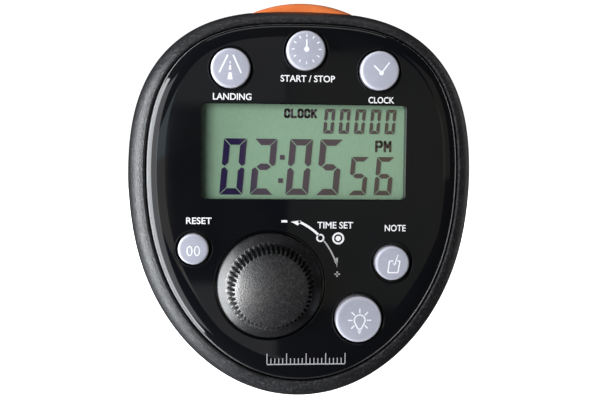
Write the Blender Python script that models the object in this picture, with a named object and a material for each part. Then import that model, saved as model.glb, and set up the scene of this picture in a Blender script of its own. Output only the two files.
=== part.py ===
"""Hand-held digital flight timer: egg-shaped case with a display, six keys, a fluted dial,
an orange start/stop bar on the top edge, a battery bay and a spring clip on the back.

Frame: +X is the reader's right, +Z up, and the face looks along -Y. The origin is on the flat
back of the case, just above the battery door. Lengths below are millimetres; MM turns them
into Blender's metres.
"""

import math

import bmesh
import bpy
from mathutils import Vector

MM = 0.001
GAP = 0.3                    # clearance between neighbouring solids

# ---- driving dimensions -------------------------------------------------------------------
CASE_CENTRE_Z = 4.0          # centre of the case outline
CASE_HARMONICS = (44.2, -3.2, 2.6, -2.0, -0.7, -0.4)   # outline radius, as a cosine series
SKIN_HARMONICS = (-0.55, 0.25, -0.1)   # how far the outer skin stands out from that outline
SKIN_DEPTH = 5.0             # inset at which that offset has died out
CASE_SEGMENTS = 52
WALL = 2.0                   # thickness of the case walls

BACK_Y = 0.0                 # flat back of the case
PARTING_Y = -11.3            # where the two casings meet
PARTING_HALF = 0.5           # half of the groove that shows the seal
FRONT_EDGE_Y = PARTING_Y - PARTING_HALF
REAR_EDGE_Y = PARTING_Y + PARTING_HALF
FACE_Y = -26.0               # flat front of the glossy panel
PANEL_BACK_Y = FACE_Y + 2.0
PANEL_RISE = 1.0             # the face sits a little high in the case
PANEL_INSET = 5.4            # panel edge, in from the case outline
LEDGE_Y = -22.0              # ledge of the front casing that carries the panel
LEDGE_INSET = 7.6
LEDGE_THICK = 1.2

BOARD_FRONT_Y = -17.0
BOARD_BACK_Y = -15.4
BOARD_INSET = 4.2
SHELF_Y = BOARD_FRONT_Y - GAP   # where parts that stand on the board's front end
UNDER_Y = BOARD_BACK_Y + GAP    # where parts that hang on the board's back begin

# display
WINDOW_X = 23.1              # half width of the opening in the panel
WINDOW_Z = (0.6, 22.0)
LENS_Y = (-23.7, -23.1)
GLASS_X = 24.2
GLASS_Y = (-22.5, -20.6)
GLASS_Z = (WINDOW_Z[0] - 3.0, WINDOW_Z[1] + 1.2)
FRAME_BORDER = 1.1
LIGHT_PLATE_X = 21.9
LIGHT_PLATE_THICK = 1.7
LED_X = (22.3, 24.1)
LED_Z = (9.5, 12.5)

# keys: name, x, z, cap radius, hole radius
KEYS = (
    ("landing", -16.8, 29.8, 4.4, 4.95),
    ("chrono", 0.0, 34.0, 4.4, 4.95),
    ("clock", 16.8, 29.8, 4.4, 4.95),
    ("reset", -24.9, -10.7, 3.45, 4.1),
    ("note", 20.4, -13.9, 3.9, 4.8),
    ("light", 12.8, -26.8, 5.3, 5.9),
)
KEY_PROUD = 1.35             # height of a cap's crown over the face
KEY_FLANGE = (-23.7, -22.9)
KEY_STEM_R = 1.1
KEY_STEM_END_Y = -19.8
HOLE_STEP = 2 * GAP          # the hole widens behind the panel to take the flange
SWITCH_SIZE = 6.0
SWITCH_TOP_Y = -20.3
SWITCH_WELL_R = 1.5
SWITCH_WELL_Y = -18.3

# dial and its encoder
DIAL_X, DIAL_Z = -7.6, -19.0
DIAL_HOLE_R = 12.5
DIAL_FLUTES = 52
DIAL_TOP_Y = -35.8
DIAL_FLARE_R = 11.95         # skirt
DIAL_CROWN_R = (10.0, 8.5)   # fluted crown, at its foot and at its head
FLUTE_DEPTH = 0.8
SHAFT_R = 3.0
SHAFT_BORE_R = SHAFT_R + 0.35
BUSHING_R = 4.4
BUSHING_FLANGE_Y = (-22.9, -22.3)
ENCODER_HALF = 6.5
ENCODER_TOP_Y = -22.0

# start/stop bar in the top edge
BAR_HALF_TURN = math.radians(16.3)
BAR_Y = (-19.7, -13.0)
BAR_PROUD = 1.45             # height of the bar's middle over the case edge; its ends are flush
BAR_DEPTH = 3.2
BAR_STEM_Y = -13.75
BAR_STEM_Z = (37.0, 41.5)
BAR_SWITCH_Z = (33.5, 37.5)
DEGREES_PER_MM = 1.3         # turn that one millimetre takes on the top edge

# battery bay: two AAA cells lying across the case
CELL_R = 5.2
CELL_ENDS = (-20.4, 24.1)    # negative end and tip of the positive nub
CELL_Z = (-8.4, -19.2)
BAY_X = 25.0
BAY_Z = (-25.4, -2.2)
BAY_FLOOR_Y = -13.8
BAY_WALL = 1.2
CELL_Y = BAY_FLOOR_Y + 0.4 + CELL_R
CONTACT_X = (24.4, 24.7)
CONTACT_Y = (-13.4, -3.4)
CONTACT_HALF = 4.0
SPRING_WIRE_R = 0.32
DOOR_THICK = 1.7

# fasteners: x, z
CASE_SCREWS = ((29.5, 24.0), (-29.5, 24.0), (20.0, -33.5), (-20.0, -33.5))
BOARD_SCREWS = ((32.4, -4.0), (-32.4, -4.0), (0.0, -39.9))
BOSS_R = 2.9
BOSS_TOP_Y = LEDGE_Y + 0.7
BOSS_HOLE_R = 1.35
COUNTERBORE_R = 2.6
POST_R = 2.0
POST_HOLE_R = 1.1

# spring clip on the back
CLIP_AXIS_Y, CLIP_AXIS_Z = 3.2, 24.0
CLIP_HALF = 8.1
CLIP_RECESS_X = 12.6         # shallow recess under the clip, open at the top of the case
CLIP_RECESS_Y = -0.6
CLIP_RECESS_Z = 3.3
EAR_X = (8.6, 10.8)
LUG_X = (6.2, 7.9)
PIN_R = 0.9
PIN_HEAD_R = 1.5
PIN_HOLE_R = 1.25
CLIP_COIL_R = 1.55
CLIP_COIL_X = 3.6
CLIP_LEG_Z = CLIP_AXIS_Z + 7.0
GROOVES = 4                  # finger grooves on the door and on the clip
GROOVE_WIDTH = 0.7

PLASTIC_BLACK = (0.012, 0.012, 0.013)
KEY_GREY = (0.52, 0.53, 0.62)
METAL = (0.62, 0.62, 0.60)


# ---- scene and material helpers -----------------------------------------------------------
def clear_scene():
    for old in list(bpy.data.objects):
        bpy.data.objects.remove(old, do_unlink=True)


def finish(obj, colour, roughness=0.5, metallic=0.0):
    """Give obj a Principled material of its own."""
    material = bpy.data.materials.new(obj.name)
    material.use_nodes = True
    shader = material.node_tree.nodes["Principled BSDF"]
    shader.inputs["Base Color"].default_value = (*colour, 1.0)
    shader.inputs["Roughness"].default_value = roughness
    shader.inputs["Metallic"].default_value = metallic
    obj.data.materials.append(material)
    return obj


def add_object(name, bm, origin=(0.0, 0.0, 0.0), smooth_below=35.0):
    """Turn a bmesh in metres into an object whose origin is at origin, in millimetres."""
    bmesh.ops.recalc_face_normals(bm, faces=bm.faces)
    place = Vector(origin) * MM
    bmesh.ops.translate(bm, verts=bm.verts, vec=-place)
    mesh = bpy.data.meshes.new(name)
    bm.to_mesh(mesh)
    bm.free()
    mesh.shade_smooth()
    mesh.set_sharp_from_angle(angle=math.radians(smooth_below))
    obj = bpy.data.objects.new(name, mesh)
    obj.location = place
    bpy.context.scene.collection.objects.link(obj)
    return obj


def boolean(target, tool, operation):
    """Cut tool from target, or fuse it on. The tool stays as a hidden guide."""
    modifier = target.modifiers.new(tool.name, "BOOLEAN")
    modifier.operation = operation
    modifier.solver = "EXACT"
    modifier.object = tool
    tool.hide_render = True
    tool.display_type = "WIRE"


def cut(target, tool):
    boolean(target, tool, "DIFFERENCE")


def fuse(target, tool):
    boolean(target, tool, "UNION")


# ---- shape helpers ------------------------------------------------------------------------
def case_point(turn, inset, y, rise=0.0):
    """Point of the case outline at turn from straight up, moved in by inset and up by rise.
    The outer skin stands off that outline a little, less and less towards the panel."""
    radius = sum(size * math.cos(order * turn) for order, size in enumerate(CASE_HARMONICS))
    offset = sum(size * math.cos(order * turn) for order, size in enumerate(SKIN_HARMONICS))
    offset *= min(max(1.0 - inset / SKIN_DEPTH, 0.0), 1.0)
    slope = -sum(order * size * math.sin(order * turn)
                 for order, size in enumerate(CASE_HARMONICS))
    sine, cosine = math.sin(turn), math.cos(turn)
    along = Vector((slope * sine + radius * cosine, slope * cosine - radius * sine)).normalized()
    outward = Vector((-along.y, along.x))
    spot = Vector((radius * sine, radius * cosine)) + (offset - inset) * outward
    return Vector((spot.x, y, spot.y + CASE_CENTRE_Z + rise))


def case_ring(inset, y, rise=0.0):
    turns = [math.tau * i / CASE_SEGMENTS for i in range(CASE_SEGMENTS)]
    return [case_point(turn, inset, y, rise) for turn in turns]


def loft(name, rings, closed=False, origin=(0.0, 0.0, 0.0)):
    """Skin a stack of equal rings given in millimetres and cap its ends, unless it closes."""
    bm = bmesh.new()
    rows = [[bm.verts.new(Vector(point) * MM) for point in ring] for ring in rings]
    pairs = list(zip(rows, rows[1:]))
    if closed:
        pairs.append((rows[-1], rows[0]))
    for low, high in pairs:
        for i in range(len(low)):
            j = (i + 1) % len(low)
            bm.faces.new((low[i], low[j], high[j], high[i]))
    if not closed:
        bm.faces.new(rows[0])
        bm.faces.new(rows[-1])
    return add_object(name, bm, origin)


def circle(radius, count, phase=0.0):
    return [(radius * math.cos(math.tau * (i + phase) / count),
             radius * math.sin(math.tau * (i + phase) / count)) for i in range(count)]


def turned_rings(profile, x, z, count):
    """Rings of a part turned about the line along Y through (x, z); profile is (radius, y)."""
    return [[(x + a, y, z + b) for a, b in circle(radius, count)] for radius, y in profile]


def turned(name, profile, x, z, count=20, closed=False, origin=None):
    rings = turned_rings(profile, x, z, count)
    return loft(name, rings, closed, origin or (0.0, 0.0, 0.0))


def turned_about_x(name, profile, y, z, count=16, origin=(0.0, 0.0, 0.0)):
    """A part turned about the line along X through (y, z); profile is (radius, x)."""
    rings = [[(x, y + a, z + b) for a, b in circle(radius, count)] for radius, x in profile]
    return loft(name, rings, origin=origin)


def block_rings(x, y, z):
    """Two square rings that skin into a block; each of x, y, z is a (low, high) pair."""
    corners = ((x[0], z[0]), (x[1], z[0]), (x[1], z[1]), (x[0], z[1]))
    return [[(a, depth, b) for a, b in corners] for depth in y]


def block(name, x, y, z, origin=(0.0, 0.0, 0.0)):
    return loft(name, block_rings(x, y, z), origin=origin)


def slab(name, outline, x, origin=(0.0, 0.0, 0.0)):
    """A (y, z) outline drawn out along X between the two values of x."""
    return loft(name, [[(side, y, z) for y, z in outline] for side in x], origin=origin)


def lobe(base_y, radius, steps=8):
    """Outline of an ear with a round end about the clip's axis and its foot at base_y."""
    sign = 1.0 if base_y < CLIP_AXIS_Y else -1.0
    arc = [math.pi * i / steps for i in range(steps + 1)]
    round_end = [(CLIP_AXIS_Y + sign * radius * math.sin(a), CLIP_AXIS_Z + radius * math.cos(a))
                 for a in arc]
    return round_end + [(base_y, CLIP_AXIS_Z - radius), (base_y, CLIP_AXIS_Z + radius)]


def coil_points(radii, span, turns, start, steps):
    """Points (along, across, up) of a coil that runs over span with radii at its two ends."""
    points = []
    count = int(turns * steps)
    for i in range(count + 1):
        share = i / count
        angle = start + math.tau * turns * share
        radius = radii[0] + (radii[1] - radii[0]) * share
        along = span[0] + (span[1] - span[0]) * share
        points.append((along, radius * math.cos(angle), radius * math.sin(angle)))
    return points


def wire(name, points, radius):
    """A round wire through points, in millimetres."""
    curve = bpy.data.curves.new(name, "CURVE")
    curve.dimensions = "3D"
    curve.bevel_depth = radius * MM
    curve.bevel_resolution = 0
    curve.use_fill_caps = True
    spline = curve.splines.new("POLY")
    spline.points.add(len(points) - 1)
    for spot, point in zip(spline.points, points):
        spot.co = (*(Vector(point) * MM), 1.0)
    obj = bpy.data.objects.new(name, curve)
    bpy.context.scene.collection.objects.link(obj)
    return obj


# ---- casings ------------------------------------------------------------------------------
def make_front_casing():
    """Bezel ring: side wall, rounded shoulder, rim, and the ledge that carries the panel."""
    rim = PANEL_INSET - GAP - 0.05
    profile = (
        (0.0, FRONT_EDGE_Y, 0.0), (0.15, -15.5, 0.0), (0.5, -18.6, 0.0), (1.2, -21.0, 0.1),
        (2.4, -22.9, 0.4), (3.8, -24.0, 0.8), (rim, -24.3, PANEL_RISE),
        (rim, LEDGE_Y, PANEL_RISE), (LEDGE_INSET, LEDGE_Y, PANEL_RISE),
        (LEDGE_INSET, LEDGE_Y + LEDGE_THICK, PANEL_RISE), (3.4, -20.0, 0.3),
        (WALL + 0.1, -17.5, 0.0), (WALL, FRONT_EDGE_Y, 0.0))
    casing = loft("front_casing", [case_ring(*row) for row in profile], closed=True)
    finish(casing, PLASTIC_BLACK, 0.55)
    for i, (x, z) in enumerate(CASE_SCREWS):
        boss = ((BOSS_R, FRONT_EDGE_Y), (BOSS_R, BOSS_TOP_Y))
        fuse(casing, turned(f"front_boss_{i}", boss, x, z, 14))
    for i, (x, z) in enumerate(BOARD_SCREWS):
        post = ((POST_R, SHELF_Y), (POST_R, BOSS_TOP_Y))
        fuse(casing, turned(f"board_post_{i}", post, x, z, 12))
        hole = ((POST_HOLE_R, BOARD_FRONT_Y), (POST_HOLE_R, -20.6))
        cut(casing, turned(f"board_post_hole_{i}", hole, x, z, 10))
    for i, (x, z) in enumerate(CASE_SCREWS):
        hole = ((BOSS_HOLE_R, FRONT_EDGE_Y + 1.0), (BOSS_HOLE_R, -18.5))
        cut(casing, turned(f"front_boss_hole_{i}", hole, x, z, 10))
    slot_y = (BAR_Y[0] - GAP, BAR_Y[1] + GAP)
    cut(casing, bar_solid("bar_slot", GAP, slot_y, -3.0, 2 * BAR_DEPTH))
    return casing


def make_rear_casing():
    """Rear tray with the battery bay, screw bosses and the ears that hold the clip's pin."""
    profile = (
        (6.5, -WALL), (4.8, -2.6), (3.4, -4.4), (2.35, -7.2), (WALL, REAR_EDGE_Y),
        (0.0, REAR_EDGE_Y), (0.35, -7.0), (1.6, -3.4), (3.3, -1.1), (5.5, BACK_Y))
    casing = loft("rear_casing", [case_ring(*row) for row in profile])
    finish(casing, PLASTIC_BLACK, 0.6)
    outer_x, outer_z = BAY_X + BAY_WALL, (BAY_Z[0] - BAY_WALL, BAY_Z[1] + BAY_WALL)
    fuse(casing, block("bay_walls", (-outer_x, outer_x), (BAY_FLOOR_Y - 1.1, -1.0), outer_z))
    for i, (x, z) in enumerate(CASE_SCREWS):
        fuse(casing, turned(f"rear_boss_{i}", ((BOSS_R, REAR_EDGE_Y), (BOSS_R, -1.6)), x, z, 14))
    cut(casing, block("clip_recess", (-CLIP_RECESS_X, CLIP_RECESS_X), (CLIP_RECESS_Y, 1.0),
                      (CLIP_RECESS_Z, 60.0)))
    for i, side in enumerate((-1, 1)):
        ear = sorted(side * x for x in EAR_X)
        fuse(casing, slab(f"clip_ear_{i}", lobe(CLIP_RECESS_Y - 0.5, 2.3), ear))
    cut(casing, block("bay_room", (-BAY_X, BAY_X), (BAY_FLOOR_Y, 1.0), BAY_Z))
    for i, z in enumerate(CELL_Z):
        slot = (BAY_FLOOR_Y - 2.0, BAY_FLOOR_Y + 1.0)
        cut(casing, block(f"contact_slot_{i}", (-BAY_X - 0.2, 0.5 - CONTACT_X[0]), slot,
                          (z - 1.8, z + 1.8)))
    for i, (x, z) in enumerate(CASE_SCREWS):
        hole = ((COUNTERBORE_R, 1.0), (COUNTERBORE_R, -1.9), (BOSS_HOLE_R, -1.9),
                (BOSS_HOLE_R, REAR_EDGE_Y - 1.0))
        cut(casing, turned(f"rear_screw_hole_{i}", hole, x, z, 14))
    pin_hole = ((PIN_HOLE_R, -15.0), (PIN_HOLE_R, 15.0))
    cut(casing, turned_about_x("ear_pin_hole", pin_hole, CLIP_AXIS_Y, CLIP_AXIS_Z, 12))
    return casing


def make_seal():
    rows = ((0.8, -0.2), (0.8, 0.2), (1.8, 0.2), (1.8, -0.2))
    rings = [case_ring(inset, PARTING_Y + y) for inset, y in rows]
    return finish(loft("casing_seal", rings, closed=True), (0.02, 0.02, 0.02), 0.8)


def make_screws(name, spots, head, shank):
    """Identical screws, numbered from 1; head is (radius, y, y) and shank (radius, y)."""
    profile = ((head[0], head[2]), (head[0], head[1]), (shank[0], head[1]), shank)
    for i, (x, z) in enumerate(spots):
        finish(turned(f"{name}_{i + 1}", profile, x, z, 12), METAL, 0.35, 1.0)


# ---- face panel and display ---------------------------------------------------------------
def make_face_panel():
    """Glossy moulded face: flat in the middle, its edge rolled back into the rim."""
    profile = (
        (8.9, PANEL_BACK_Y, 1.2), (8.4, LEDGE_Y - GAP, 1.1), (PANEL_INSET, LEDGE_Y - GAP, 1.0),
        (PANEL_INSET, -23.6, 1.0), (PANEL_INSET + 0.5, -24.5, 1.1),
        (PANEL_INSET + 1.5, -25.3, 1.4), (PANEL_INSET + 2.8, -25.8, 1.8),
        (PANEL_INSET + 4.2, FACE_Y, 2.2))
    panel = loft("face_panel", [case_ring(*row) for row in profile])
    finish(panel, (0.006, 0.006, 0.008), 0.08)
    for name, x, z, _, hole in KEYS:
        flange = hole + HOLE_STEP
        profile = ((hole, FACE_Y - 2.0), (hole, PANEL_BACK_Y), (flange, PANEL_BACK_Y),
                   (flange, LEDGE_Y + 1.0))
        cut(panel, turned(f"{name}_hole", profile, x, z, 24))
    dial = ((DIAL_HOLE_R, FACE_Y - 2.0), (DIAL_HOLE_R, LEDGE_Y + 1.0))
    cut(panel, turned("dial_hole", dial, DIAL_X, DIAL_Z, 48))
    window = block("window_hole", (-WINDOW_X, WINDOW_X), (FACE_Y - 2.0, PANEL_BACK_Y + 1.0),
                   WINDOW_Z)
    cut(panel, window)
    return panel


def make_display():
    low, high = WINDOW_Z
    lens = block("display_window", (-WINDOW_X - 1.3, WINDOW_X + 1.3), LENS_Y,
                 (low - 1.5, high + 1.3))
    finish(lens, (0.75, 0.8, 0.75), 0.05)
    glass = block("lcd_glass", (-GLASS_X, GLASS_X), GLASS_Y, GLASS_Z)
    finish(glass, (0.29, 0.37, 0.28), 0.25)
    outer_x = GLASS_X + GAP + FRAME_BORDER
    frame_y = (GLASS_Y[0] - GAP, SHELF_Y)
    frame = block("lcd_frame", (-outer_x, outer_x), frame_y,
                  (GLASS_Z[0] - FRAME_BORDER, GLASS_Z[1] + FRAME_BORDER))
    room = block("frame_room", (-GLASS_X - GAP, GLASS_X + GAP),
                 (frame_y[0] - 1.0, frame_y[1] + 1.0), (GLASS_Z[0] - GAP, GLASS_Z[1] + GAP))
    cut(frame, room)
    finish(frame, (0.03, 0.03, 0.03), 0.6)
    behind = GLASS_Y[1] + GAP
    plate = block("backlight_plate", (-LIGHT_PLATE_X, LIGHT_PLATE_X),
                  (behind, behind + LIGHT_PLATE_THICK), (low - 1.0, high - GAP))
    finish(plate, (0.85, 0.87, 0.85), 0.4)
    for name, side in (("left", -1), ("right", 1)):
        span = sorted(side * x for x in LED_X)
        lamp = block(f"backlight_led_{name}", span, (behind + 0.4, SHELF_Y), LED_Z)
        finish(lamp, (0.9, 0.85, 0.5), 0.4)
    for name, z in (("zebra_strip_lower", (low - 2.9, low - 1.4)),
                    ("zebra_strip_upper", (high, high + 1.1))):
        strip = block(name, (-LIGHT_PLATE_X, LIGHT_PLATE_X), (behind, SHELF_Y), z)
        finish(strip, (0.08, 0.05, 0.07), 0.7)


# ---- circuit board ------------------------------------------------------------------------
def make_board():
    rings = [case_ring(BOARD_INSET, y) for y in (BOARD_FRONT_Y, BOARD_BACK_Y)]
    board = finish(loft("main_board", rings), (0.02, 0.18, 0.07), 0.45)
    through = (BOARD_FRONT_Y - 1.0, BOARD_BACK_Y + 1.0)
    cut(board, block("bar_clearance", (-16.0, 16.0), through, (38.0, 50.0)))
    for i, (x, z) in enumerate(CASE_SCREWS):
        cut(board, turned(f"boss_notch_{i}", [(BOSS_R + 0.4, y) for y in through], x, z, 14))
    for i, (x, z) in enumerate(BOARD_SCREWS):
        cut(board, turned(f"board_hole_{i}", [(POST_HOLE_R, y) for y in through], x, z, 10))
    return board


def make_board_parts():
    """Parts on the back of the board, above the battery bay."""
    chip = block("controller_chip", (-7.0, 3.0), (UNDER_Y, UNDER_Y + 1.4), (7.0, 17.0))
    finish(chip, (0.02, 0.02, 0.02), 0.5)
    crystal = block("clock_crystal", (-16.0, -12.0), (UNDER_Y, UNDER_Y + 2.4), (8.0, 17.0))
    finish(crystal, METAL, 0.3, 1.0)
    can = turned("smoothing_capacitor", ((2.6, UNDER_Y), (2.6, UNDER_Y + 5.0)), -22.0, 12.0, 16)
    finish(can, (0.05, 0.06, 0.14), 0.35)
    top = UNDER_Y + 4.4
    profile = ((6.5, UNDER_Y), (6.5, top), (1.0, top), (1.0, top - 1.0))
    finish(turned("buzzer", profile, 16.5, 13.0, 20), (0.015, 0.015, 0.015), 0.5)


# ---- keys and their switches --------------------------------------------------------------
def make_key(name, x, z, radius, hole):
    """A domed cap with the flange that keeps it in and the stem that works its switch."""
    crown = FACE_Y - KEY_PROUD
    profile = (
        (0.45 * radius, crown), (0.8 * radius, crown + 0.15), (radius - 0.2, crown + 0.5),
        (radius, crown + 1.0), (radius, KEY_FLANGE[0]), (hole + GAP, KEY_FLANGE[0]),
        (hole + GAP, KEY_FLANGE[1]), (KEY_STEM_R, KEY_FLANGE[1]), (KEY_STEM_R, KEY_STEM_END_Y))
    cap = turned(f"{name}_key", profile, x, z, 18, origin=(x, FACE_Y, z))
    return finish(cap, KEY_GREY, 0.35)


def make_key_switch(name, x, z):
    half = SWITCH_SIZE / 2
    span = (SWITCH_TOP_Y, SHELF_Y)
    body = block(f"{name}_switch", (x - half, x + half), span, (z - half, z + half))
    well = ((SWITCH_WELL_R, SWITCH_TOP_Y - 1.0), (SWITCH_WELL_R, SWITCH_WELL_Y))
    cut(body, turned(f"{name}_well", well, x, z, 12))
    return finish(body, (0.05, 0.05, 0.05), 0.5)


def bar_solid(name, grow, y, outer, inner, proud=0.0, steps=12):
    """A stretch of the case's top edge between two insets, grown sideways by grow. Its outer
    side bulges by proud in the middle."""
    half = BAR_HALF_TURN + math.radians(grow * DEGREES_PER_MM)
    shares = [2.0 * i / steps - 1.0 for i in range(steps + 1)]
    outline = [case_point(half * share, outer - proud * (1.0 - share * share), 0.0)
               for share in shares]
    outline += [case_point(half * share, inner, 0.0) for share in reversed(shares)]
    rings = [[(point.x, depth, point.z) for point in outline] for depth in y]
    return loft(name, rings)


def bar_stem(name, radius, z):
    rings = [[(a, BAR_STEM_Y + b, height) for a, b in circle(radius, 10)] for height in z]
    return loft(name, rings)


def make_start_stop_bar():
    """Orange push bar: a bulging bar, an inner flange that keeps it in, and a stem."""
    bar = bar_solid("start_stop_bar", 0.0, BAR_Y, 0.0, BAR_DEPTH, BAR_PROUD)
    finish(bar, (0.82, 0.2, 0.03), 0.4)
    flange_y = (BAR_Y[0] + 2.1, BAR_Y[1] - 0.1)
    fuse(bar, bar_solid("bar_flange", 4 * GAP, flange_y, BAR_DEPTH - 0.6, BAR_DEPTH + 0.6))
    fuse(bar, bar_stem("bar_stem", 0.7, BAR_STEM_Z))
    switch = block("start_stop_switch", (-3.5, 3.5), (UNDER_Y, UNDER_Y + 3.0), BAR_SWITCH_Z)
    cut(switch, bar_stem("bar_switch_well", 1.0, (BAR_STEM_Z[0] - 1.9, BAR_SWITCH_Z[1] + 1.5)))
    finish(switch, (0.05, 0.05, 0.05), 0.5)


# ---- dial ---------------------------------------------------------------------------------
def make_dial():
    """Push-and-turn dial: smooth flared skirt, fluted crown and a matt top disc."""
    foot, head = DIAL_CROWN_R
    rows = (
        (DIAL_FLARE_R, FACE_Y + 1.0, 0.0), (DIAL_FLARE_R, FACE_Y - 0.5, 0.0),
        (DIAL_FLARE_R - 0.55, FACE_Y - 1.2, 0.0), (foot, FACE_Y - 2.3, 0.0),
        (foot - 0.1, FACE_Y - 2.4, FLUTE_DEPTH), (head + 0.4, DIAL_TOP_Y + 1.2, FLUTE_DEPTH),
        (head, DIAL_TOP_Y + 0.4, 0.3), (head - 0.6, DIAL_TOP_Y, 0.0))
    rings = []
    for radius, y, depth in rows:
        ring = []
        for i, (a, b) in enumerate(circle(1.0, 2 * DIAL_FLUTES)):
            reach = radius - depth * (i % 2)
            ring.append((DIAL_X + reach * a, y, DIAL_Z + reach * b))
        rings.append(ring)
    axis = (DIAL_X, FACE_Y, DIAL_Z)
    dial = finish(loft("dial_knob", rings, origin=axis), (0.02, 0.02, 0.022), 0.5)
    bore = ((5.0, -20.0), (5.0, -27.3), (SHAFT_BORE_R, -27.3), (SHAFT_BORE_R, -33.5))
    cut(dial, turned("dial_bore", bore, DIAL_X, DIAL_Z, 20))
    shaft = turned("encoder_shaft", ((SHAFT_R, -33.2), (SHAFT_R, -20.6)), DIAL_X, DIAL_Z, 16,
                   origin=axis)
    finish(shaft, METAL, 0.35, 1.0)
    plunger = turned("encoder_plunger", ((3.4, -20.3), (3.4, -19.4)), DIAL_X, DIAL_Z, 16,
                     origin=axis)
    finish(plunger, (0.6, 0.6, 0.58), 0.5)


def make_encoder():
    low, high = BUSHING_FLANGE_Y
    end = FACE_Y - 0.2
    profile = ((5.8, low), (5.8, high), (SHAFT_BORE_R, high), (SHAFT_BORE_R, end),
               (BUSHING_R, end), (BUSHING_R, low))
    bushing = turned("encoder_bushing", profile, DIAL_X, DIAL_Z, 20, closed=True)
    finish(bushing, METAL, 0.35, 1.0)
    half = ENCODER_HALF
    body = block("encoder_body", (DIAL_X - half, DIAL_X + half), (ENCODER_TOP_Y, SHELF_Y),
                 (DIAL_Z - half, DIAL_Z + half))
    well = ((4.0, ENCODER_TOP_Y - 1.0), (4.0, SWITCH_WELL_Y))
    cut(body, turned("encoder_well", well, DIAL_X, DIAL_Z, 16))
    finish(body, (0.1, 0.12, 0.1), 0.5)


# ---- batteries ----------------------------------------------------------------------------
def make_cell(name, z, side):
    """AAA cell; its positive nub points along side, +1 for +X."""
    flat, nub = CELL_ENDS
    profile = ((1.9, nub), (1.9, nub - 1.0), (CELL_R - 0.5, nub - 1.2), (CELL_R, nub - 1.7),
               (CELL_R, flat))
    profile = [(radius, side * x) for radius, x in profile]
    cell = turned_about_x(name, profile, CELL_Y, z, 18)
    return finish(cell, (0.45, 0.3, 0.12), 0.35, 0.6)


def make_battery_contacts():
    low, high = CONTACT_X
    for name, z in (("battery_contact_negative", CELL_Z[0]),
                    ("battery_contact_positive", CELL_Z[1])):
        plate = block(name, (-high, -low), CONTACT_Y, (z - CONTACT_HALF, z + CONTACT_HALF))
        fuse(plate, block(f"{name}_tail", (-high - 0.05, 0.05 - low), (-15.1, -10.0),
                          (z - 1.2, z + 1.2)))
        finish(plate, METAL, 0.3, 1.0)
    bridge = block("battery_bridge", CONTACT_X, CONTACT_Y,
                   (CELL_Z[1] - CONTACT_HALF, CELL_Z[0] + CONTACT_HALF))
    finish(bridge, METAL, 0.3, 1.0)
    ends = (low - 2 * SPRING_WIRE_R, -CELL_ENDS[0] + 2 * SPRING_WIRE_R)
    for name, z, side in (("battery_spring_left", CELL_Z[0], -1),
                          ("battery_spring_right", CELL_Z[1], 1)):
        coil = coil_points((3.2, 2.0), ends, 3.0, 0.0, 10)
        path = [(side * along, CELL_Y + across, z + up) for along, across, up in coil]
        finish(wire(name, path, SPRING_WIRE_R), METAL, 0.3, 1.0)


def cut_grooves(body, name, half, y, first_z, pitch):
    """Finger grooves across body, one above the other."""
    for i in range(GROOVES):
        z = first_z + pitch * i
        cut(body, block(f"{name}_{i}", (-half, half), y, (z, z + GROOVE_WIDTH)))


def make_battery_door():
    low, high = BAY_Z[0] + GAP, BAY_Z[1] - 2 * GAP
    axis = (0.0, -0.5 * DOOR_THICK, high - 0.4)
    half = BAY_X - GAP
    door = block("battery_door", (-half, half), (-DOOR_THICK, BACK_Y - 0.02), (low, high),
                 origin=axis)
    finish(door, PLASTIC_BLACK, 0.6)
    cut_grooves(door, "door_groove", 7.0, (-0.6, 1.0), low + 2.4, 1.5)
    return door


# ---- clip ---------------------------------------------------------------------------------
def make_clip():
    axis = (0.0, CLIP_AXIS_Y, CLIP_AXIS_Z)
    outline = (
        (6.9, 38.2), (7.4, 31.0), (7.6, 24.0), (7.4, 15.0), (7.0, 9.6), (3.9, 4.7), (2.2, 4.0),
        (1.7, 4.4), (1.7, 6.4), (5.3, 10.0), (5.4, 14.0), (5.4, 31.0), (5.0, 38.2))
    lever = slab("clip_lever", outline, (-CLIP_HALF, CLIP_HALF), origin=axis)
    finish(lever, PLASTIC_BLACK, 0.6)
    for i, side in enumerate((-1, 1)):
        fuse(lever, slab(f"clip_lug_{i}", lobe(6.2, 2.1), sorted(side * x for x in LUG_X)))
    pin_hole = ((PIN_HOLE_R, -9.0), (PIN_HOLE_R, 9.0))
    cut(lever, turned_about_x("lug_pin_hole", pin_hole, CLIP_AXIS_Y, CLIP_AXIS_Z, 12))
    cut_grooves(lever, "thumb_groove", 6.5, (6.5, 9.0), 31.0, 1.6)
    inner, outer = EAR_X[1] + GAP, EAR_X[1] + GAP + 0.8
    pin = ((PIN_HEAD_R, -outer), (PIN_HEAD_R, -inner), (PIN_R, -inner), (PIN_R, inner),
           (PIN_HEAD_R, inner), (PIN_HEAD_R, outer))
    pin = turned_about_x("clip_pin", pin, CLIP_AXIS_Y, CLIP_AXIS_Z, 12)
    finish(pin, METAL, 0.35, 1.0)
    pad_y = (CLIP_RECESS_Y + GAP + 0.1, 1.4)
    pad = block("clip_pad", (-6.5, 6.5), pad_y, (4.5, 6.3), origin=axis)
    finish(pad, (0.03, 0.03, 0.03), 0.9)
    coil = coil_points((CLIP_COIL_R, CLIP_COIL_R), (-CLIP_COIL_X, CLIP_COIL_X), 5.0,
                       0.5 * math.pi, 8)
    first = (-CLIP_COIL_X, CLIP_AXIS_Y - 2.3, CLIP_LEG_Z)
    last = (CLIP_COIL_X, CLIP_AXIS_Y + 1.7, CLIP_LEG_Z)
    path = [(a, CLIP_AXIS_Y + b, CLIP_AXIS_Z + c) for a, b, c in coil]
    finish(wire("clip_spring", [first] + path + [last], 0.25), METAL, 0.3, 1.0)


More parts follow.
